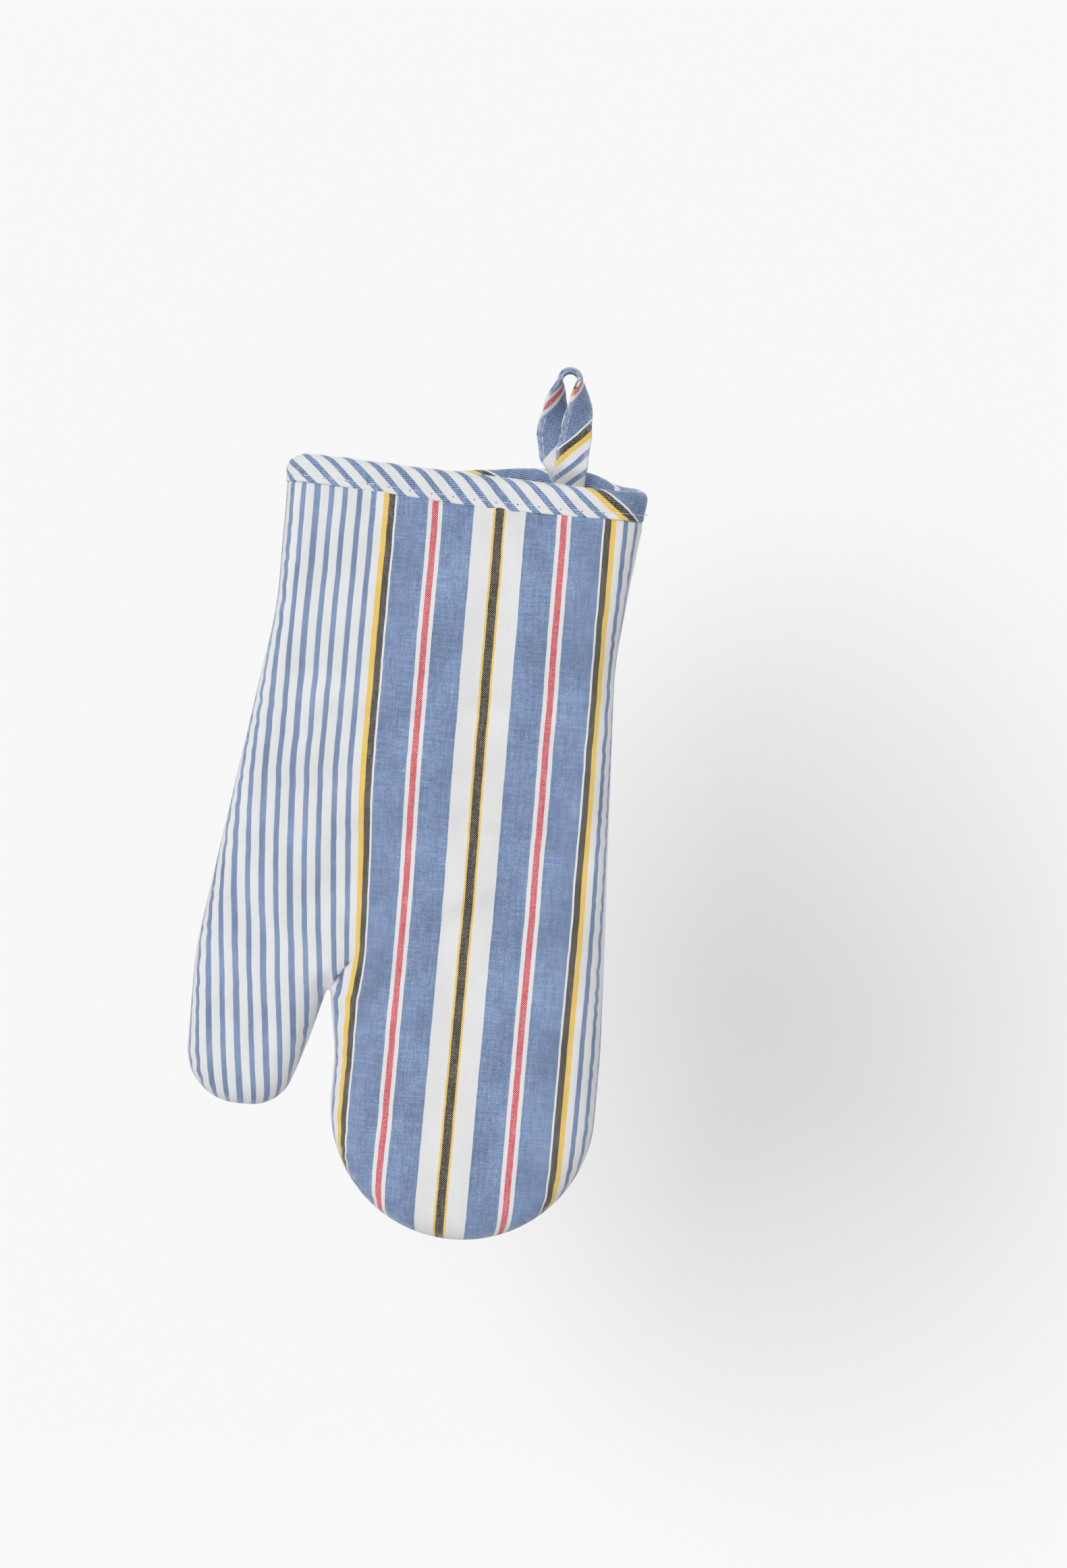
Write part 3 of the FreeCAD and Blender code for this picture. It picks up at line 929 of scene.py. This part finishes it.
def binding_cloth(s, down, on_back):
    """Cloth coordinates of the bias-cut strip, s along it and down from its folded top."""
    u = s - QUARTER - CUFF_LEFT + EDGE_RADIUS
    drag = 0.10 + 0.20 * smooth((u - 20) / 30)
    u -= drag * (down - MIDDLE_DOWN)
    start = BINDING_START["back" if on_back else "front"]
    across = start - (u * math.sin(BIAS) - down * math.cos(BIAS))
    return across, u * math.cos(BIAS) + down * math.sin(BIAS)


def capsule(verts, faces, start, end, radius, sides=6, rings=2):
    """Adds a stitch: a short rounded length of thread from start to end."""
    start, end = np.array(start, float), np.array(end, float)
    axis = end - start
    length = np.linalg.norm(axis)
    axis /= length
    helper = np.array([0, 0, 1.0]) if abs(axis[2]) < 0.9 else np.array([1.0, 0, 0])
    a = np.cross(axis, helper)
    a /= np.linalg.norm(a)
    b = np.cross(axis, a)
    turns = [math.pi / 2 * i / rings for i in range(rings + 1)]
    stations = [(-radius * math.cos(t), radius * math.sin(t)) for t in turns[:-1]]
    stations += [(length + radius * math.sin(t), radius * math.cos(t)) for t in turns]
    base = len(verts)
    verts.append(start + axis * stations[0][0])
    for z, r in stations[1:-1]:
        for k in range(sides):
            t = 2 * math.pi * k / sides
            verts.append(start + axis * z + (a * math.cos(t) + b * math.sin(t)) * r)
    verts.append(start + axis * stations[-1][0])
    first, last = base + 1, len(verts) - 1 - sides
    faces += [tuple(first + i for i in quad) for quad, _ in ring_quads(len(stations) - 2, sides)]
    for k in range(sides):
        n = (k + 1) % sides
        faces += [(base, first + n, first + k), (len(verts) - 1, last + k, last + n)]


def make_binding_stitches(material):
    """The row of top stitches that holds the folded strip, each a short raised length of thread."""
    points, normals, lengths = mouth_path(1.0)
    verts, faces = [], []

    def on_binding(at):
        j = min(int(np.searchsorted(lengths, at, side="right")) - 1, len(points) - 1)
        t = (at - lengths[j]) / (lengths[j + 1] - lengths[j])
        u, y = points[j] * (1 - t) + points[(j + 1) % len(points)] * t
        n = normals[j]
        out = LEAF_FACE + BINDING_CLOTH / 2 + binding_swell(at, 1, STITCH_HEIGHT) + 0.03
        return u + n[0] * out, y + n[1] * out, binding_rise(u, y, STITCH_HEIGHT)

    s = 1.0
    while s < lengths[-1] - 3:
        middle, end = s + STITCH_LENGTH / 2, s + STITCH_LENGTH
        for a, b in ((s, middle), (middle, end)):
            capsule(verts, faces, on_binding(a), on_binding(b), STITCH_RADIUS)
        s += STITCH_LENGTH + STITCH_GAP
    obj = new_mesh("binding_top_stitching", hang(np.array(verts)), faces, material)
    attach(obj, "palm")
    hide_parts("binding_stitching")


# ---------------------------------------------------------------- hanging loop

LOOP_WIDTH = 14.0
HOOK_RADIUS = 3.3
LOOP_CLOTH = 0.42
LAYER = 0.48
LOOP_END = 47.3
LOOP_BIAS = math.radians(48)
TAIL_LENGTH = 13.0
STRAND_GAP = 1.1
LOOP_STITCH_START = 14.0
LOOP_STITCH = 2.4
LOOP_PITCH = 3.8
LOOP_STITCH_RADIUS = 0.21
LOOP_STITCH_INSET = 4.7
# The zigzag that holds the tails: its rows below the lip's line, its turns, their spacing and height
BARTACK_ROWS = (6.3, 11.2)
BARTACK_TURNS = 10
BARTACK_PITCH = 1.33
BARTACK_HALF = 0.5
BARTACK_RADIUS = 0.17
# Middle of each strand to the side of the hook, against the distance below the hook
RIGHT_MIDDLE = ((3.3, 4.3), (12, 4.3), (24, 2.5), (36, 0.6), (47.3, -1.0))
LEFT_MIDDLE = ((3.3, -4.3), (12, -6.0), (26, -7.7), (36, -6.6), (43, -3.0), (47.3, -1.0))
# Directions along the mouth and down from it
MOUTH_ALONG = np.array([math.cos(TILT + CUFF_SLANT), 0, -math.sin(TILT + CUFF_SLANT)])
MOUTH_DOWN = np.array([MOUTH_ALONG[2], 0, -MOUTH_ALONG[0]])


def blend_values(table, x):
    """Smooth curve through a few (place, value) pairs."""
    x = min(max(x, table[0][0]), table[-1][0])
    for (a, va), (b, vb) in zip(table, table[1:]):
        if x <= b:
            return va + (vb - va) * smooth((x - a) / (b - a))


def lean_back(below):
    """How far the strip stands behind the middle plane, at a distance below the lip's line."""
    return (HALF_DEPTH - STACK - 3.0) * smooth((below + 8) / 9.5)


def strand_frame(side, drop):
    """Middle, width direction and outward direction of one strand at a distance below the hook."""
    share = min(max((drop - 2.0) / (LOOP_END - 2.0), 0.0), 1.0)
    angle = math.pi / 2 * (1 - (1 - share) ** 2.2)
    middle = blend_values(RIGHT_MIDDLE if side > 0 else LEFT_MIDDLE, drop)
    stack = STRAND_GAP * smooth(share * 2.0)
    width = MOUTH_ALONG * math.sin(angle) + np.array([0, math.cos(angle), 0])
    outward = np.array([math.cos(angle), -math.sin(angle), 0]) * side
    back = lean_back(drop - LOOP_END) - side * stack
    return np.array([middle, back, -drop]), width, outward


def tail_point(side, below):
    """Where a strand runs below the lip's line, inside the back lip."""
    foot = np.array([LOOP_FOOT[0], lean_back(below) - side * STRAND_GAP, LOOP_FOOT[1]])
    return foot + MOUTH_DOWN * below, MOUTH_ALONG, np.array([0, -1.0, 0]) * side


def loop_frames():
    """Frames of the strip from the left tail, up over the hook and down to the right tail."""
    frames = [tail_point(-1, below) for below in np.arange(TAIL_LENGTH, -0.1, -1.3)]
    drops = list(np.arange(LOOP_END - 1.4, HOOK_RADIUS, -1.4))
    frames += [strand_frame(-1, drop) for drop in drops]
    for i in range(13):
        a = math.pi * (1 - i / 12)
        outward = np.array([math.cos(a), 0, math.sin(a)])
        place = np.array([0, 0, -HOOK_RADIUS]) + outward * (HOOK_RADIUS + 1.0)
        frames.append((place, np.array([0, 1.0, 0]), outward))
    frames += [strand_frame(1, drop) for drop in reversed(drops)]
    return frames + [tail_point(1, below) for below in np.arange(0.0, TAIL_LENGTH + 0.1, 1.3)]


def loop_section():
    """The strip's cut cloth folded to four layers, the open edges turned in at the left."""
    edge, fold = -LOOP_WIDTH / 2 + 0.45, LOOP_WIDTH / 2 - 0.75
    outer, inner = LAYER * 1.5, LAYER * 0.5
    line = spaced((fold - 0.8, -inner), (edge + 0.3, -inner), 1.6)
    line += turn_points((edge + 0.3, -(outer + inner) / 2), LAYER / 2, 90, 270, 4)
    line += spaced((edge + 0.9, -outer), (fold, -outer), 1.3)
    line += turn_points((fold, 0), outer, -90, 90, 7)
    line += spaced((fold - 0.6, outer), (edge + 0.3, outer), 1.3)
    line += turn_points((edge + 0.3, (outer + inner) / 2), LAYER / 2, 90, 270, 4)
    line += spaced((edge + 0.9, inner), (fold - 0.8, inner), 1.6)
    return np.array(line)


def strand_cloth(t, across, outer):
    """Cloth coordinates on the strip, t along it from its crown, positive down the right strand."""
    c, s = math.cos(LOOP_BIAS), math.sin(LOOP_BIAS)
    if outer:
        return 45.8 + c * (t - 33.5) + s * (across + 1.0), t * s - across * c
    return 27.15 + c * (t + 11.5) - s * across, t * s + across * c


def loop_puff(length, a, o):
    """How far the folded strip swells at a place across it, less along its stitched edge."""
    puff = 0.22 * math.cos(min(max((a - 1.2) / 5.2, -1), 1) * math.pi / 2)
    dip = -0.20 * math.exp(-((a + LOOP_STITCH_INSET) / 0.9) ** 2)
    return math.copysign(puff + dip, o) * (abs(o) > LAYER) + 0.10 * wave(length / 5, a / 6, 3)


def make_loop(material):
    """The folded strip. Its frames and the length along them are handed on for the stitches."""
    frames = loop_frames()
    lengths = run_lengths(np.array([f[0] for f in frames]))
    along = lengths - lengths[np.argmax([f[0][2] for f in frames])]
    line = loop_section()
    profile = thick_profile(line, LOOP_CLOTH)
    rows, size = len(frames), len(profile)
    verts = []
    for (place, width, outward), length in zip(frames, lengths):
        for a, o in profile:
            verts.append(place + width * a + outward * (o + loop_puff(length, a, o)))
    faces, cloth, strip = [], [], []
    for quad, corners in ring_quads(rows, size):
        faces.append(quad)
        outer = profile[corners[0][1]][1] + profile[corners[1][1]][1] > 0
        for j, a in corners:
            cloth.append(strand_cloth(along[j], profile[a][0], outer))
            strip.append((lengths[j], LOOP_WIDTH / 2 - abs(profile[a][0])))
    for row, order in ((0, 1), (rows - 1, -1)):
        for a in range(size // 2 - 1):
            corners = (a, a + 1, size - 2 - a, size - 1 - a)[::order]
            faces.append(tuple(row * size + b for b in corners))
            cloth += [strand_cloth(along[row], profile[b][0], profile[b][1] > 0) for b in corners]
            strip += [(0.0, 5.0)] * 4
    obj = new_mesh("hanging_loop_strip", np.array(verts) * MM, faces, material, np.array(cloth) * MM,
                   np.array(strip) * MM)
    blend_loop(obj)
    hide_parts("hanging_loop", "loop_tail")
    return frames, lengths


def blend_loop(obj):
    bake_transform(obj)


def make_loop_stitches(frames, lengths, material):
    """The row of stitches that closes the folded strip along its open edge, seen on both faces."""
    lift = LAYER * 1.5 + LOOP_CLOTH / 2 + 0.02
    verts, faces = [], []

    def on_strip(at, face):
        j = min(int(np.searchsorted(lengths, at)) - 1, len(frames) - 2)
        t = (at - lengths[j]) / (lengths[j + 1] - lengths[j])
        place, width, outward = (frames[j][i] * (1 - t) + frames[j + 1][i] * t for i in range(3))
        return place - width * LOOP_STITCH_INSET + outward * face * lift

    s = LOOP_STITCH_START
    while s + LOOP_STITCH < lengths[-1] - LOOP_STITCH_START:
        for face in (1, -1):
            ends = on_strip(s, face), on_strip(s + LOOP_STITCH, face)
            capsule(verts, faces, *ends, LOOP_STITCH_RADIUS)
        s += LOOP_PITCH
    obj = new_mesh("loop_edge_stitches", np.array(verts) * MM, faces, material)
    blend_loop(obj)
    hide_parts("loop_edge_stitching")


def make_bartack(material):
    """A close zigzag that holds the strip's ends to the back lip."""
    verts, faces = [], []
    for row in BARTACK_ROWS:
        face = tail_point(1, row)[0] + np.array([0, -1.25, 0])
        corners = []
        for i in range(BARTACK_TURNS):
            along, down = -6.0 + i * BARTACK_PITCH, BARTACK_HALF if i % 2 else -BARTACK_HALF
            corners.append(face + MOUTH_ALONG * along + MOUTH_DOWN * down)
        for a, b in zip(corners, corners[1:]):
            capsule(verts, faces, a, b, BARTACK_RADIUS)
    obj = new_mesh("loop_bartack_zigzag", np.array(verts) * MM, faces, material)
    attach(obj, "palm")
    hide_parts("loop_bartack")


# ---------------------------------------------------------------- seam thread

def make_seam_thread(skin, material):
    """The sewn line inside the edge, in a stretch for the hand on each side of the thumb's."""
    inset, radius, sides = 1.9, 0.25, 6
    path = skin.points - skin.normals * inset
    spans = {"left": (3, skin.cut + 1), "thumb": (skin.cut, skin.crotch + 1),
             "right": (skin.crotch, skin.count - 3)}
    for part, (first, end) in spans.items():
        verts = []
        for j in range(first, end):
            for k in range(sides):
                t = 2 * math.pi * k / sides
                u, w = path[j] + skin.normals[j] * radius * math.cos(t)
                verts.append((u, radius * math.sin(t), w))
        faces = [quad for quad, _ in ring_quads(end - first, sides)]
        faces.append(tuple(range(sides))[::-1])
        faces.append(tuple(range(len(verts) - sides, len(verts))))
        obj = new_mesh("seam_thread_" + part, hang(np.array(verts)), faces, material)
        (blend_thumb if part == "thumb" else blend_fingers)(obj)
        if part == "thumb":
            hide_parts("side_seam_thread_thumb")
        elif part == "right":
            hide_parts("side_seam_thread_palm", "side_seam_thread_fingers")


# ---------------------------------------------------------------- materials

class Nodes:
    """Short calls for building a shader tree."""

    def __init__(self, name):
        self.material = bpy.data.materials.new(name)
        self.material.use_nodes = True
        self.tree = self.material.node_tree
        self.tree.nodes.clear()
        self.output = self.tree.nodes.new("ShaderNodeOutputMaterial")

    def put(self, socket, value):
        if isinstance(value, bpy.types.NodeSocket):
            self.tree.links.new(value, socket)
        else:
            socket.default_value = value

    def node(self, kind, *values, **settings):
        """A node with its settings, and values for its inputs from the first on."""
        made = self.tree.nodes.new("ShaderNode" + kind)
        for key, value in settings.items():
            setattr(made, key, value)
        for socket, value in zip(made.inputs, values):
            self.put(socket, value)
        return made

    def math(self, operation, *values):
        return self.node("Math", *values, operation=operation).outputs[0]

    def add(self, a, b):
        return self.math("ADD", a, b)

    def sub(self, a, b):
        return self.math("SUBTRACT", a, b)

    def mul(self, a, b):
        return self.math("MULTIPLY", a, b)

    def div(self, a, b):
        return self.math("DIVIDE", a, b)

    def mix(self, share, a, b, blend="MIX"):
        made = self.node("Mix", share, data_type="RGBA", blend_type=blend)
        self.put(made.inputs[6], a)
        self.put(made.inputs[7], b)
        return made.outputs[2]

    def toned(self, colour, tone):
        return self.mix(1.0, colour, self.vector(tone, tone, tone), "MULTIPLY")

    def vector(self, *values):
        return self.node("CombineXYZ", *values).outputs[0]

    def noise(self, vector, scale=1.0, detail=2.0):
        made = self.node("TexNoise")
        for name, value in (("Vector", vector), ("Scale", scale), ("Detail", detail)):
            self.put(made.inputs[name], value)
        return made.outputs["Fac"]

    def noise_at(self, u, v, fineness, seed, detail=2.0):
        """Noise on the cloth, with its own fineness along u and along v."""
        place = self.vector(self.mul(u, fineness[0]), self.mul(v, fineness[1]), seed)
        return self.noise(place, 1.0, detail)

    def spread(self, value, low, high, to_low=0.0, to_high=1.0, kind="SMOOTHSTEP"):
        return self.node("MapRange", value, low, high, to_low, to_high, interpolation_type=kind).outputs[0]

    def random(self, value):
        made = self.node("TexWhiteNoise", noise_dimensions="1D")
        self.put(made.inputs["W"], value)
        return made.outputs["Value"]

    def random_cell(self, x, y):
        made = self.node("TexWhiteNoise", noise_dimensions="2D")
        self.put(made.inputs["Vector"], self.vector(x, y))
        return made.outputs["Value"]

    def place(self, layer):
        """The two coordinates of a UV layer, in millimetres."""
        axes = self.node("SeparateXYZ", self.node("UVMap", uv_map=layer).outputs[0])
        return self.mul(axes.outputs[0], 1000.0), self.mul(axes.outputs[1], 1000.0)

    def surface(self, colour, rough, height, strength, distance, sheen):
        """A rough shader with a fine relief, linked to the output."""
        bump, shader = self.node("Bump"), self.node("BsdfPrincipled")
        inputs = (
            (bump, "Strength", strength), (bump, "Distance", distance), (bump, "Height", height),
            (shader, "Base Color", colour), (shader, "Roughness", rough),
            (shader, "Sheen Weight", sheen), (shader, "Normal", bump.outputs[0]),
        )
        for node, name, value in inputs:
            self.put(node.inputs[name], value)
        self.put(self.output.inputs[0], shader.outputs[0])
        return shader


def rgba(colour):
    return (*colour, 1.0)


def yarn_pair(name):
    """Warp and weft colours whose mix, as they cover the cloth, is the stripe's own colour."""
    mean, weft = (np.array(linear(colour)) for colour in COLOURS[name])
    cover = BLACK_OVER if name == "black" else WARP_OVER
    warp = np.clip((mean - (1 - cover) * weft) / cover, 0.004, 0.95)
    return tuple(warp), tuple(weft)


def stripe_ramp(n, place, which):
    """The wide stripes as a constant ramp over the distance from the middle."""
    reach = STRIPES[-1][0]
    ramp = n.node("ValToRGB", n.div(place, reach))
    ramp.color_ramp.interpolation = "CONSTANT"
    stops = ramp.color_ramp.elements
    stops.remove(stops[1])
    stops[0].position = 0.0
    stops[0].color = rgba(yarn_pair(STRIPES[0][1])[which])
    for (end, _), (_, name) in zip(STRIPES, STRIPES[1:]):
        stops.new(end / reach).color = rgba(yarn_pair(name)[which])
    return ramp.outputs[0]


def stripe_colour(n, place, which):
    """Colour of the warp, 0, or of the weft, 1, at a distance from the middle of the cloth."""
    beyond = n.sub(place, STRIPES[-1][0])
    phase = n.math("MODULO", n.add(beyond, PIN_PERIOD * 40), PIN_PERIOD)
    white, blue = (rgba(yarn_pair(name)[which]) for name in ("white", "blue"))
    pins = n.mix(n.math("LESS_THAN", phase, PIN_WIDTH), white, blue)
    return n.mix(n.math("GREATER_THAN", beyond, 0.0), stripe_ramp(n, place, which), pins)


def uneven_tone(n, value, most, dyed):
    """A brightness near 1 that varies with value, less where the yarn is undyed."""
    return n.add(n.mul(n.mul(n.sub(value, 0.5), 2 * most), dyed), 1.0)


def edge_wear(n, u, v, seed):
    """Rubbed yarn along seams and folds, in patches."""
    near = n.spread(n.math("ABSOLUTE", n.place("strip")[1]), 0.0, WORN_REACH, 0.5, 0.0)
    return n.mul(near, n.spread(n.noise_at(u, v, WORN, seed + 3), 0.35, 0.6))


def painted_hole_shade(n, colour):
    """Painted shade: small dark dots along the binding's stitch line, for the shade in the pits where the
    needle pulled the cloth in.
    """
    along, down = n.place("strip")
    offset = n.mul(n.sub(n.math("FRACT", n.div(along, HOLE_SHADE_SPACING)), 0.5), HOLE_SHADE_SPACING)
    down = n.sub(down, HOLE_SHADE_DOWN)
    distance = n.math("SQRT", n.add(n.mul(offset, offset), n.mul(down, down)))
    return n.mix(n.spread(distance, 0.20, 0.46, 0.8, 0.0), colour, rgba(linear(HOLE_SHADE_COLOUR)))


def yarn_colours(n, over, weft_no, warp_no, cell, slub, dyed, yarns, seed):
    """The warp's and weft's colours, uneven from yarn to yarn, with pale flecks in the weft."""
    warp, weft = yarns
    fleck = n.mul(n.spread(cell, 0.90, 0.97), n.spread(slub, 0.48, 0.62))
    weft = n.mix(n.mul(fleck, 0.75), weft, rgba(linear(FLECK_COLOUR)))
    warp = n.toned(warp, uneven_tone(n, n.random(n.add(warp_no, seed)), 0.16, dyed))
    weft = n.toned(weft, uneven_tone(n, n.random(n.add(weft_no, seed + 0.5)), 0.08, dyed))
    return n.mix(over, weft, warp)


def woven_colour(n, u, v, seed):
    """The cloth's colour, its yarn's relief, and how dyed it is: 1 in the blue, near 0 in the white."""
    wobble = n.noise_at(u, v, WOBBLE, seed)
    drawn = n.add(u, n.mul(n.sub(wobble, 0.5), 0.5))
    warp_at, weft_at = n.div(drawn, THREAD), n.div(v, THREAD)
    warp_no, weft_no = n.math("FLOOR", warp_at), n.math("FLOOR", weft_at)
    checks = n.mul(*(n.math("SINE", n.mul(at, math.pi)) for at in (warp_at, weft_at)))
    slub = n.noise_at(weft_no, u, SLUB, seed)
    streak = n.noise_at(warp_no, v, STREAK, seed + 5)
    cell = n.random_cell(warp_no, n.add(weft_no, seed))
    middle = n.math("ABSOLUTE", n.mul(n.add(warp_no, 0.5), THREAD))
    warp, weft = (stripe_colour(n, middle, which) for which in (0, 1))
    red, green = n.node("SeparateColor", warp).outputs[:2]
    bias = n.add(n.add(0.18, n.mul(n.sub(cell, 0.5), 0.34)), n.mul(n.sub(streak, slub), 0.75))
    bias = n.add(bias, n.spread(green, 0.02, 0.12, 0.17, 0.0, "LINEAR"))
    over = n.spread(n.add(checks, bias), -0.16, 0.16)
    dyed = n.spread(red, 0.1, 0.8, 1.0, 0.12, "LINEAR")
    colour = yarn_colours(n, over, weft_no, warp_no, cell, slub, dyed, (warp, weft), seed)
    blotch = n.noise_at(u, v, BLOTCH, seed + 9, 3.0)
    faded = n.mul(n.spread(blotch, 0.3, 0.7, -0.12, 0.13), n.add(dyed, 0.12))
    return n.toned(colour, n.add(faded, 1.0)), n.math("ABSOLUTE", checks), dyed


def cloth_material(name, seed, with_hole_shade=False):
    """Plain-woven cotton with coloured warp stripes and a paler weft."""
    n = Nodes(name)
    u, v = n.place("cloth")
    colour, yarn, dyed = woven_colour(n, u, v, seed)
    worn = n.mul(edge_wear(n, u, v, seed), dyed)
    colour = n.mix(worn, colour, rgba(linear(WORN_COLOUR)))
    # Painted shade: dark dots for the shade in the binding's needle holes
    if with_hole_shade:
        colour = painted_hole_shade(n, colour)
    fuzz = n.noise_at(u, v, FUZZ, seed, 3.0)
    rough = n.spread(fuzz, 0.2, 0.8, 0.82, 0.95, "LINEAR")
    height = n.add(n.mul(yarn, 0.75), n.mul(fuzz, 0.5))
    shader = n.surface(colour, rough, height, strength=0.45, distance=0.00014, sheen=0.08)
    shader.inputs["Specular IOR Level"].default_value = 0.25
    shader.inputs["Sheen Roughness"].default_value = 0.5
    return n.material


def plain_material(name, colour, scale, rough=0.9, strength=0.4, distance=0.0002):
    """Undyed fibres or thread: a fine fibrous relief and slightly uneven colour in object space."""
    n = Nodes(name)
    place = n.node("TexCoord").outputs["Object"]
    fibre = n.noise(place, scale, 4.0)
    cloud = n.noise(place, scale / 14, 2.0)
    tone = n.spread(n.add(n.mul(fibre, 0.6), n.mul(cloud, 0.4)), 0.3, 0.7, 0.88, 1.05)
    rough = n.spread(fibre, 0.3, 0.7, rough - 0.08, rough + 0.05, "LINEAR")
    n.surface(n.toned(rgba(linear(colour)), tone), rough, fibre, strength, distance, 0.06)
    return n.material


# ---------------------------------------------------------------- studio

# The wall stands clear of the mitt at the end of its swing to the back
WALL_Y = 0.38
WALL_TOP = 1.6
FLOOR_END = -3.2
SWEEP_RADIUS = 0.25
HALF_WIDTH = 3.0
BACKDROP_COLOUR = (250, 250, 250)
SKY_COLOUR = (249, 249, 249)
SKY_STRENGTH = 0.61
# Name, azimuth, elevation, strength and angular size of each distant lamp
SUNS = (("key", -26, 14, 1.36, 34), ("rim_back", 150, 35, 1.6, 30))
FLOOR_Z = -0.75
CAMERA = (-0.0156, -1.80, -0.174)
PICTURE_HEIGHT = 0.664


def backdrop_material():
    """Matt paint, see-through from behind so that the wall never hides the mitt from the back."""
    n = Nodes("backdrop_paint")
    paint = n.node("BsdfDiffuse", rgba(linear(BACKDROP_COLOUR)))
    clear = n.node("BsdfTransparent")
    behind = n.node("NewGeometry").outputs["Backfacing"]
    mix = n.node("MixShader", behind, paint.outputs[0], clear.outputs[0])
    n.put(n.output.inputs[0], mix.outputs[0])
    return n.material


def make_backdrop():
    """A pale wall well behind the mitt that sweeps into the floor."""
    profile = [(WALL_Y, WALL_TOP)]
    for i in range(13):
        a = math.radians(90 * i / 12)
        back, up = SWEEP_RADIUS * (1 - math.cos(a)), SWEEP_RADIUS * (1 - math.sin(a))
        profile.append((WALL_Y - back, FLOOR_Z + up))
    profile.append((FLOOR_END, FLOOR_Z))
    verts = [(x, y, z) for y, z in profile for x in (-HALF_WIDTH, HALF_WIDTH)]
    faces = [(i, i + 2, i + 3, i + 1) for i in range(0, 2 * len(profile) - 2, 2)]
    obj = new_mesh("backdrop_sweep", verts, faces, backdrop_material())
    obj.visible_diffuse = False
    obj.visible_glossy = False
    obj.visible_shadow = False


def make_sun(name, azimuth, elevation, strength, angle):
    """A soft distant lamp. Azimuth 0 shines along +Y from the front, 90 from the right."""
    data = bpy.data.lights.new(name, "SUN")
    data.energy = strength
    data.angle = math.radians(angle)
    obj = add_object(name, data)
    a, e = math.radians(azimuth), math.radians(elevation)
    source = Vector((math.sin(a) * math.cos(e), -math.cos(a) * math.cos(e), math.sin(e)))
    obj.rotation_euler = source.to_track_quat("Z", "Y").to_euler()
    obj.location = source * 2


def make_world():
    """White light from all round; the camera sees a plain pale background instead."""
    world = bpy.data.worlds.new("studio")
    bpy.context.scene.world = world
    world.use_nodes = True
    tree = world.node_tree
    tree.nodes.clear()
    output, light, seen, path, mix = (
        tree.nodes.new("ShaderNode" + kind)
        for kind in ("OutputWorld", "Background", "Background", "LightPath", "MixShader")
    )
    light.inputs[0].default_value = (1.0, 1.0, 1.0, 1.0)
    light.inputs[1].default_value = SKY_STRENGTH
    seen.inputs[0].default_value = rgba(linear(SKY_COLOUR))
    tree.links.new(path.outputs["Is Camera Ray"], mix.inputs[0])
    tree.links.new(light.outputs[0], mix.inputs[1])
    tree.links.new(seen.outputs[0], mix.inputs[2])
    tree.links.new(mix.outputs[0], output.inputs[0])


def make_camera():
    data = bpy.data.cameras.new("camera")
    data.sensor_width = 36.0
    data.lens = data.sensor_width * -CAMERA[1] / PICTURE_HEIGHT
    data.clip_end = 50
    obj = add_object("camera", data)
    obj.location = CAMERA
    obj.rotation_euler = (math.radians(90), 0, 0)
    bpy.context.scene.camera = obj


# ---------------------------------------------------------------- build

def main():
    bpy.context.scene.view_settings.view_transform = "Standard"
    make_camera()
    make_world()
    for sun in SUNS:
        make_sun(*sun)
    make_backdrop()
    fine_thread = {"scale": 5200, "rough": 0.7, "strength": 0.6, "distance": 0.0001}
    thread = plain_material("sewing_thread", (235, 237, 241), **fine_thread)
    top_thread = plain_material("top_stitch_thread", (230, 232, 237), **fine_thread)
    layers = {
        "outer": cloth_material("striped_cotton", 1.0),
        "lining": plain_material("lining_cotton", (236, 234, 228), 2600),
        "wadding": plain_material("wadding_fibre", (240, 240, 238), 900, 0.95, 0.8, 0.0006),
    }
    fine, coarse = Skin(FINE_STEP), Skin(COARSE_STEP)
    settle_skins(coarse, fine)
    make_layers(fine, coarse, layers)
    make_seam_thread(coarse, thread)
    # The binding's cloth carries the painted shade of its needle holes
    make_binding(cloth_material("striped_cotton_binding", 31.0, True))
    make_binding_stitches(top_thread)
    frames, lengths = make_loop(cloth_material("striped_cotton_loop", 57.0))
    make_loop_stitches(frames, lengths, thread)
    make_bartack(thread)


main()
